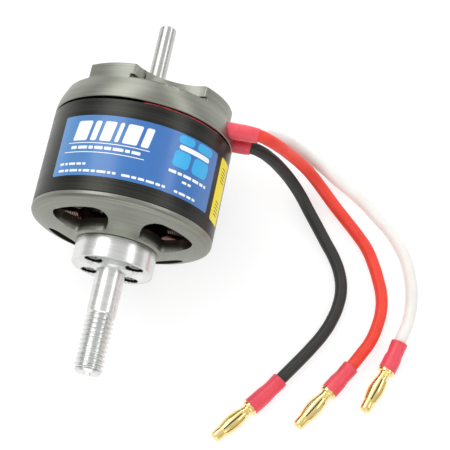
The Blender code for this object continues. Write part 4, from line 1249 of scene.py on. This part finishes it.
def plug_sleeve(colour, lead, seed):
    """Heat-shrink over the wire's end and the plug's cup, creased where it narrows."""
    start, bend, front = (p / MM for p in sleeve_corners(lead))
    shares = [i / PLUG_STEPS for i in range(PLUG_STEPS + 1)]
    points = [start.lerp(bend, t).lerp(bend.lerp(front, t), t) for t in shares]

    def wobble(i, turn, radius):
        share = shares[i]
        x, y = math.cos(turn), math.sin(turn)
        place = Vector((seed, share * 3.5, seed * 2))
        dent = noise.noise(Vector((x, y, 0.0)) * 1.1 + place)
        crease = noise.noise(Vector((x * 2.6, y * 2.6, share * 2.2 + seed)))
        fold = noise.noise(Vector((x * 0.7, share * 16.0, y * 0.7 + seed)))
        soft = 1.0 - share * 0.55
        size = radius * (1 + 0.022 * dent + 0.022 * crease * soft + 0.016 * fold * soft)
        return min(size, PLUG_SLEEVE_RADIUS)

    radii = [sleeve_radius(t) for t in shares]
    rows = swept(points, radii, SLEEVE_SIDES, wobble=wobble)
    ahead = (front - bend).normalized()
    inward = (bend - start).normalized()
    tail = [inset_ring(rows[0], points[0], inset, inward * step)
            for inset, step in ((0.36, 1.0), (0.34, 0.1), (0.12, -0.05))]
    lip = [inset_ring(rows[-1], points[-1], inset, -ahead * step)
           for inset, step in ((0.10, -0.05), (0.30, 0.0), (0.42, 0.25), (0.45, 2.2))]
    return shrink(f"{colour}_plug_shrink", tail + rows + lip, f"{colour}_plug_sleeve")


LEAVES = 8
LEAF_STEPS = 9
SLOT_TURN = math.radians(11.0)
BASKET_SPAN = (3.5, 13.2)
BASKET_ROWS = 40
BASKET_RING_ROWS = 3
# The plain ring's radius, and how far the leaves bulge beyond it.
BASKET_RADIUS = 2.05
BASKET_BULGE = 0.75


def spring_basket():
    """Spring leaves between two rings, with slots between them."""
    low, high = BASKET_SPAN
    leaf_turn = math.tau / LEAVES - SLOT_TURN
    turns = [math.tau * leaf / LEAVES + leaf_turn * k / LEAF_STEPS
             for leaf in range(LEAVES) for k in range(LEAF_STEPS + 1)]
    rows = []
    for i in range(BASKET_ROWS + 1):
        t = i / BASKET_ROWS
        radius = BASKET_RADIUS + BASKET_BULGE * math.sin(math.pi * t)
        rows.append([
            (radius * math.cos(a), radius * math.sin(a), low + (high - low) * t) for a in turns
        ])

    def slot(row, column):
        between = column % (LEAF_STEPS + 1) == LEAF_STEPS
        return between and BASKET_RING_ROWS <= row < BASKET_ROWS - BASKET_RING_ROWS

    basket = linked("basket", grid_mesh(rows, skip=slot))
    thick = basket.modifiers.new("thick", "SOLIDIFY")
    thick.thickness = 0.28
    thick.offset = -1
    return baked(basket)


def plug_core():
    """Solder cup, flange, neck, inner pin and nose as one turned part."""
    corners = [
        (0, 17.1, 0), (1.05, 17.1, 0.35), (1.9, 16.4, 0.5), (2.05, 15.3, 0.4),
        (2.05, 13.5, 0.05), (1.93, 13.42, 0.02), (1.93, 13.3, 0.02), (2.05, 13.22, 0.05),
        (2.05, 13.0, 0.05), (1.3, 12.8, 0.1), (1.2, 4.2, 0.1), (1.9, 3.7, 0.1),
        (2.02, 3.4, 0.1), (2.02, 2.7, 0.05), (1.86, 2.55, 0.05), (1.86, 2.05, 0.05),
        (2.02, 1.9, 0.05), (2.02, 1.25, 0.1), (2.95, 1.1, 0.15), (2.95, 0.0, 0.15),
        (2.6, -0.1, 0.05), (2.28, -0.4, 0.05), (2.28, -3.2, 0.1), (0, -3.2, 0),
    ]
    return lathe(rounded(corners), sides=72)


def bullet_plug(colour, lead):
    """The gold plug, and a dark gold pin inside its leaves: painted shade that darkens the slots
    between them.
    """
    bend, front = (p / MM for p in sleeve_corners(lead)[1:])
    along = (front - bend).normalized()
    place = Matrix.Translation(front + along * 0.05)
    matrix = TO_METRES @ place @ along.to_track_quat("Z", "Y").to_matrix().to_4x4()
    mesh = joined([plug_core(), spring_basket()])
    plug = piece(f"{colour}_bullet", mesh, matrix, "stator", "gold_plate",
                 [f"{colour}_bullet_plug"], 38.0)
    # A pin of darkened gold inside the leaves, as painted shade in the slots.
    corners = [(0, 12.95, 0), (1.5, 12.95, 0.2), (1.85, 8.4, 2.0), (1.5, 3.6, 0.2), (0, 3.6, 0)]
    pin = turned(f"{colour}_bullet_slot_shade", corners, matrix, "stator", "gold_plate_shaded",
                 closed=False, sides=48)
    return [plug, pin]


def make_leads():
    for seed, (colour, lead) in enumerate(LEADS.items(), start=1):
        wire = WIRES[colour]
        wire.data.materials.append(FINISHES[f"silicone_{colour}"])
        declared(wire, "stator", [f"{colour}_lead_wire"])
        gland = exit_sleeve(colour, lead, seed)
        sleeve = plug_sleeve(colour, lead, seed * 1.7)
        plug_parts = bullet_plug(colour, lead)


# ---------------------------------------------------------------- studio

LIGHT_TARGET = Vector((0.0, 0.0, 0.035))
FLOOR_HALF = 30.0


def softbox(name, towards, distance, size, radiance):
    """An area light facing the motor, its second side lying along the shaft."""
    data = bpy.data.lights.new(name, "AREA")
    data.shape = "RECTANGLE"
    data.size, data.size_y = size
    data.energy = radiance * math.pi * size[0] * size[1]
    away = Vector(towards).normalized()
    along = Vector((0, 1, 0))
    along = (along - away * along.dot(away)).normalized()
    turn = Matrix((along.cross(away), along, away)).transposed().to_4x4()
    light = linked(name, data)
    light.matrix_world = Matrix.Translation(LIGHT_TARGET + away * distance) @ turn


def make_floor():
    made = Finish("studio_floor", 0.6, Emission_Color=(1.0, 1.0, 1.0, 1.0),
                  Emission_Strength=0.67, Specular_IOR_Level=0.2)
    made.colour(made.fade(made.noise(6.0, 3.0), grey(0.39), grey(0.41)))
    made.rough(made.spread(made.noise(400.0, 3.0), 0.55, 0.7))
    signs = ((-1, -1), (1, -1), (1, 1), (-1, 1))
    mesh = mesh_of([(x * FLOOR_HALF, y * FLOOR_HALF, 0) for x, y in signs], [(0, 1, 2, 3)])
    mesh.materials.append(made.material)
    linked("studio_floor", mesh)


def make_world():
    world = bpy.data.worlds.new("studio")
    bpy.context.scene.world = world
    world.use_nodes = True
    nodes = world.node_tree.nodes
    links = world.node_tree.links
    place = nodes.new("ShaderNodeTexCoord").outputs["Generated"]
    parts = nodes.new("ShaderNodeSeparateXYZ")
    links.new(place, parts.inputs[0])
    ramp = nodes.new("ShaderNodeValToRGB")
    elements = ramp.color_ramp.elements
    elements.new(0.5)
    for element, (position, value) in zip(elements, ((0.0, 0.50), (0.45, 0.60), (1.0, 0.78))):
        element.position = position
        element.color = (*grey(value), 1.0)
    links.new(parts.outputs[2], ramp.inputs[0])
    links.new(ramp.outputs[0], nodes["Background"].inputs["Color"])
    nodes["Background"].inputs["Strength"].default_value = 1.0


def make_studio():
    make_floor()
    make_world()
    softbox("key", (-0.462, 0.530, 0.711), 1.25, (0.70, 2.00), 2.2)
    softbox("strip", (0.659, 0.530, 0.534), 1.25, (0.27, 2.00), 2.6)
    softbox("front", (0.05, -0.90, 0.42), 1.2, (1.20, 0.70), 1.5)
    bpy.context.scene.view_settings.view_transform = "Standard"


make_studio()
make_mount_plate()
make_core()
make_coils()
make_lead_outs()
make_bearings()
make_flux_ring()
make_magnets()
make_bell()
make_shaft()
make_adapter()
make_collar_screws()
make_labels()
make_leads()
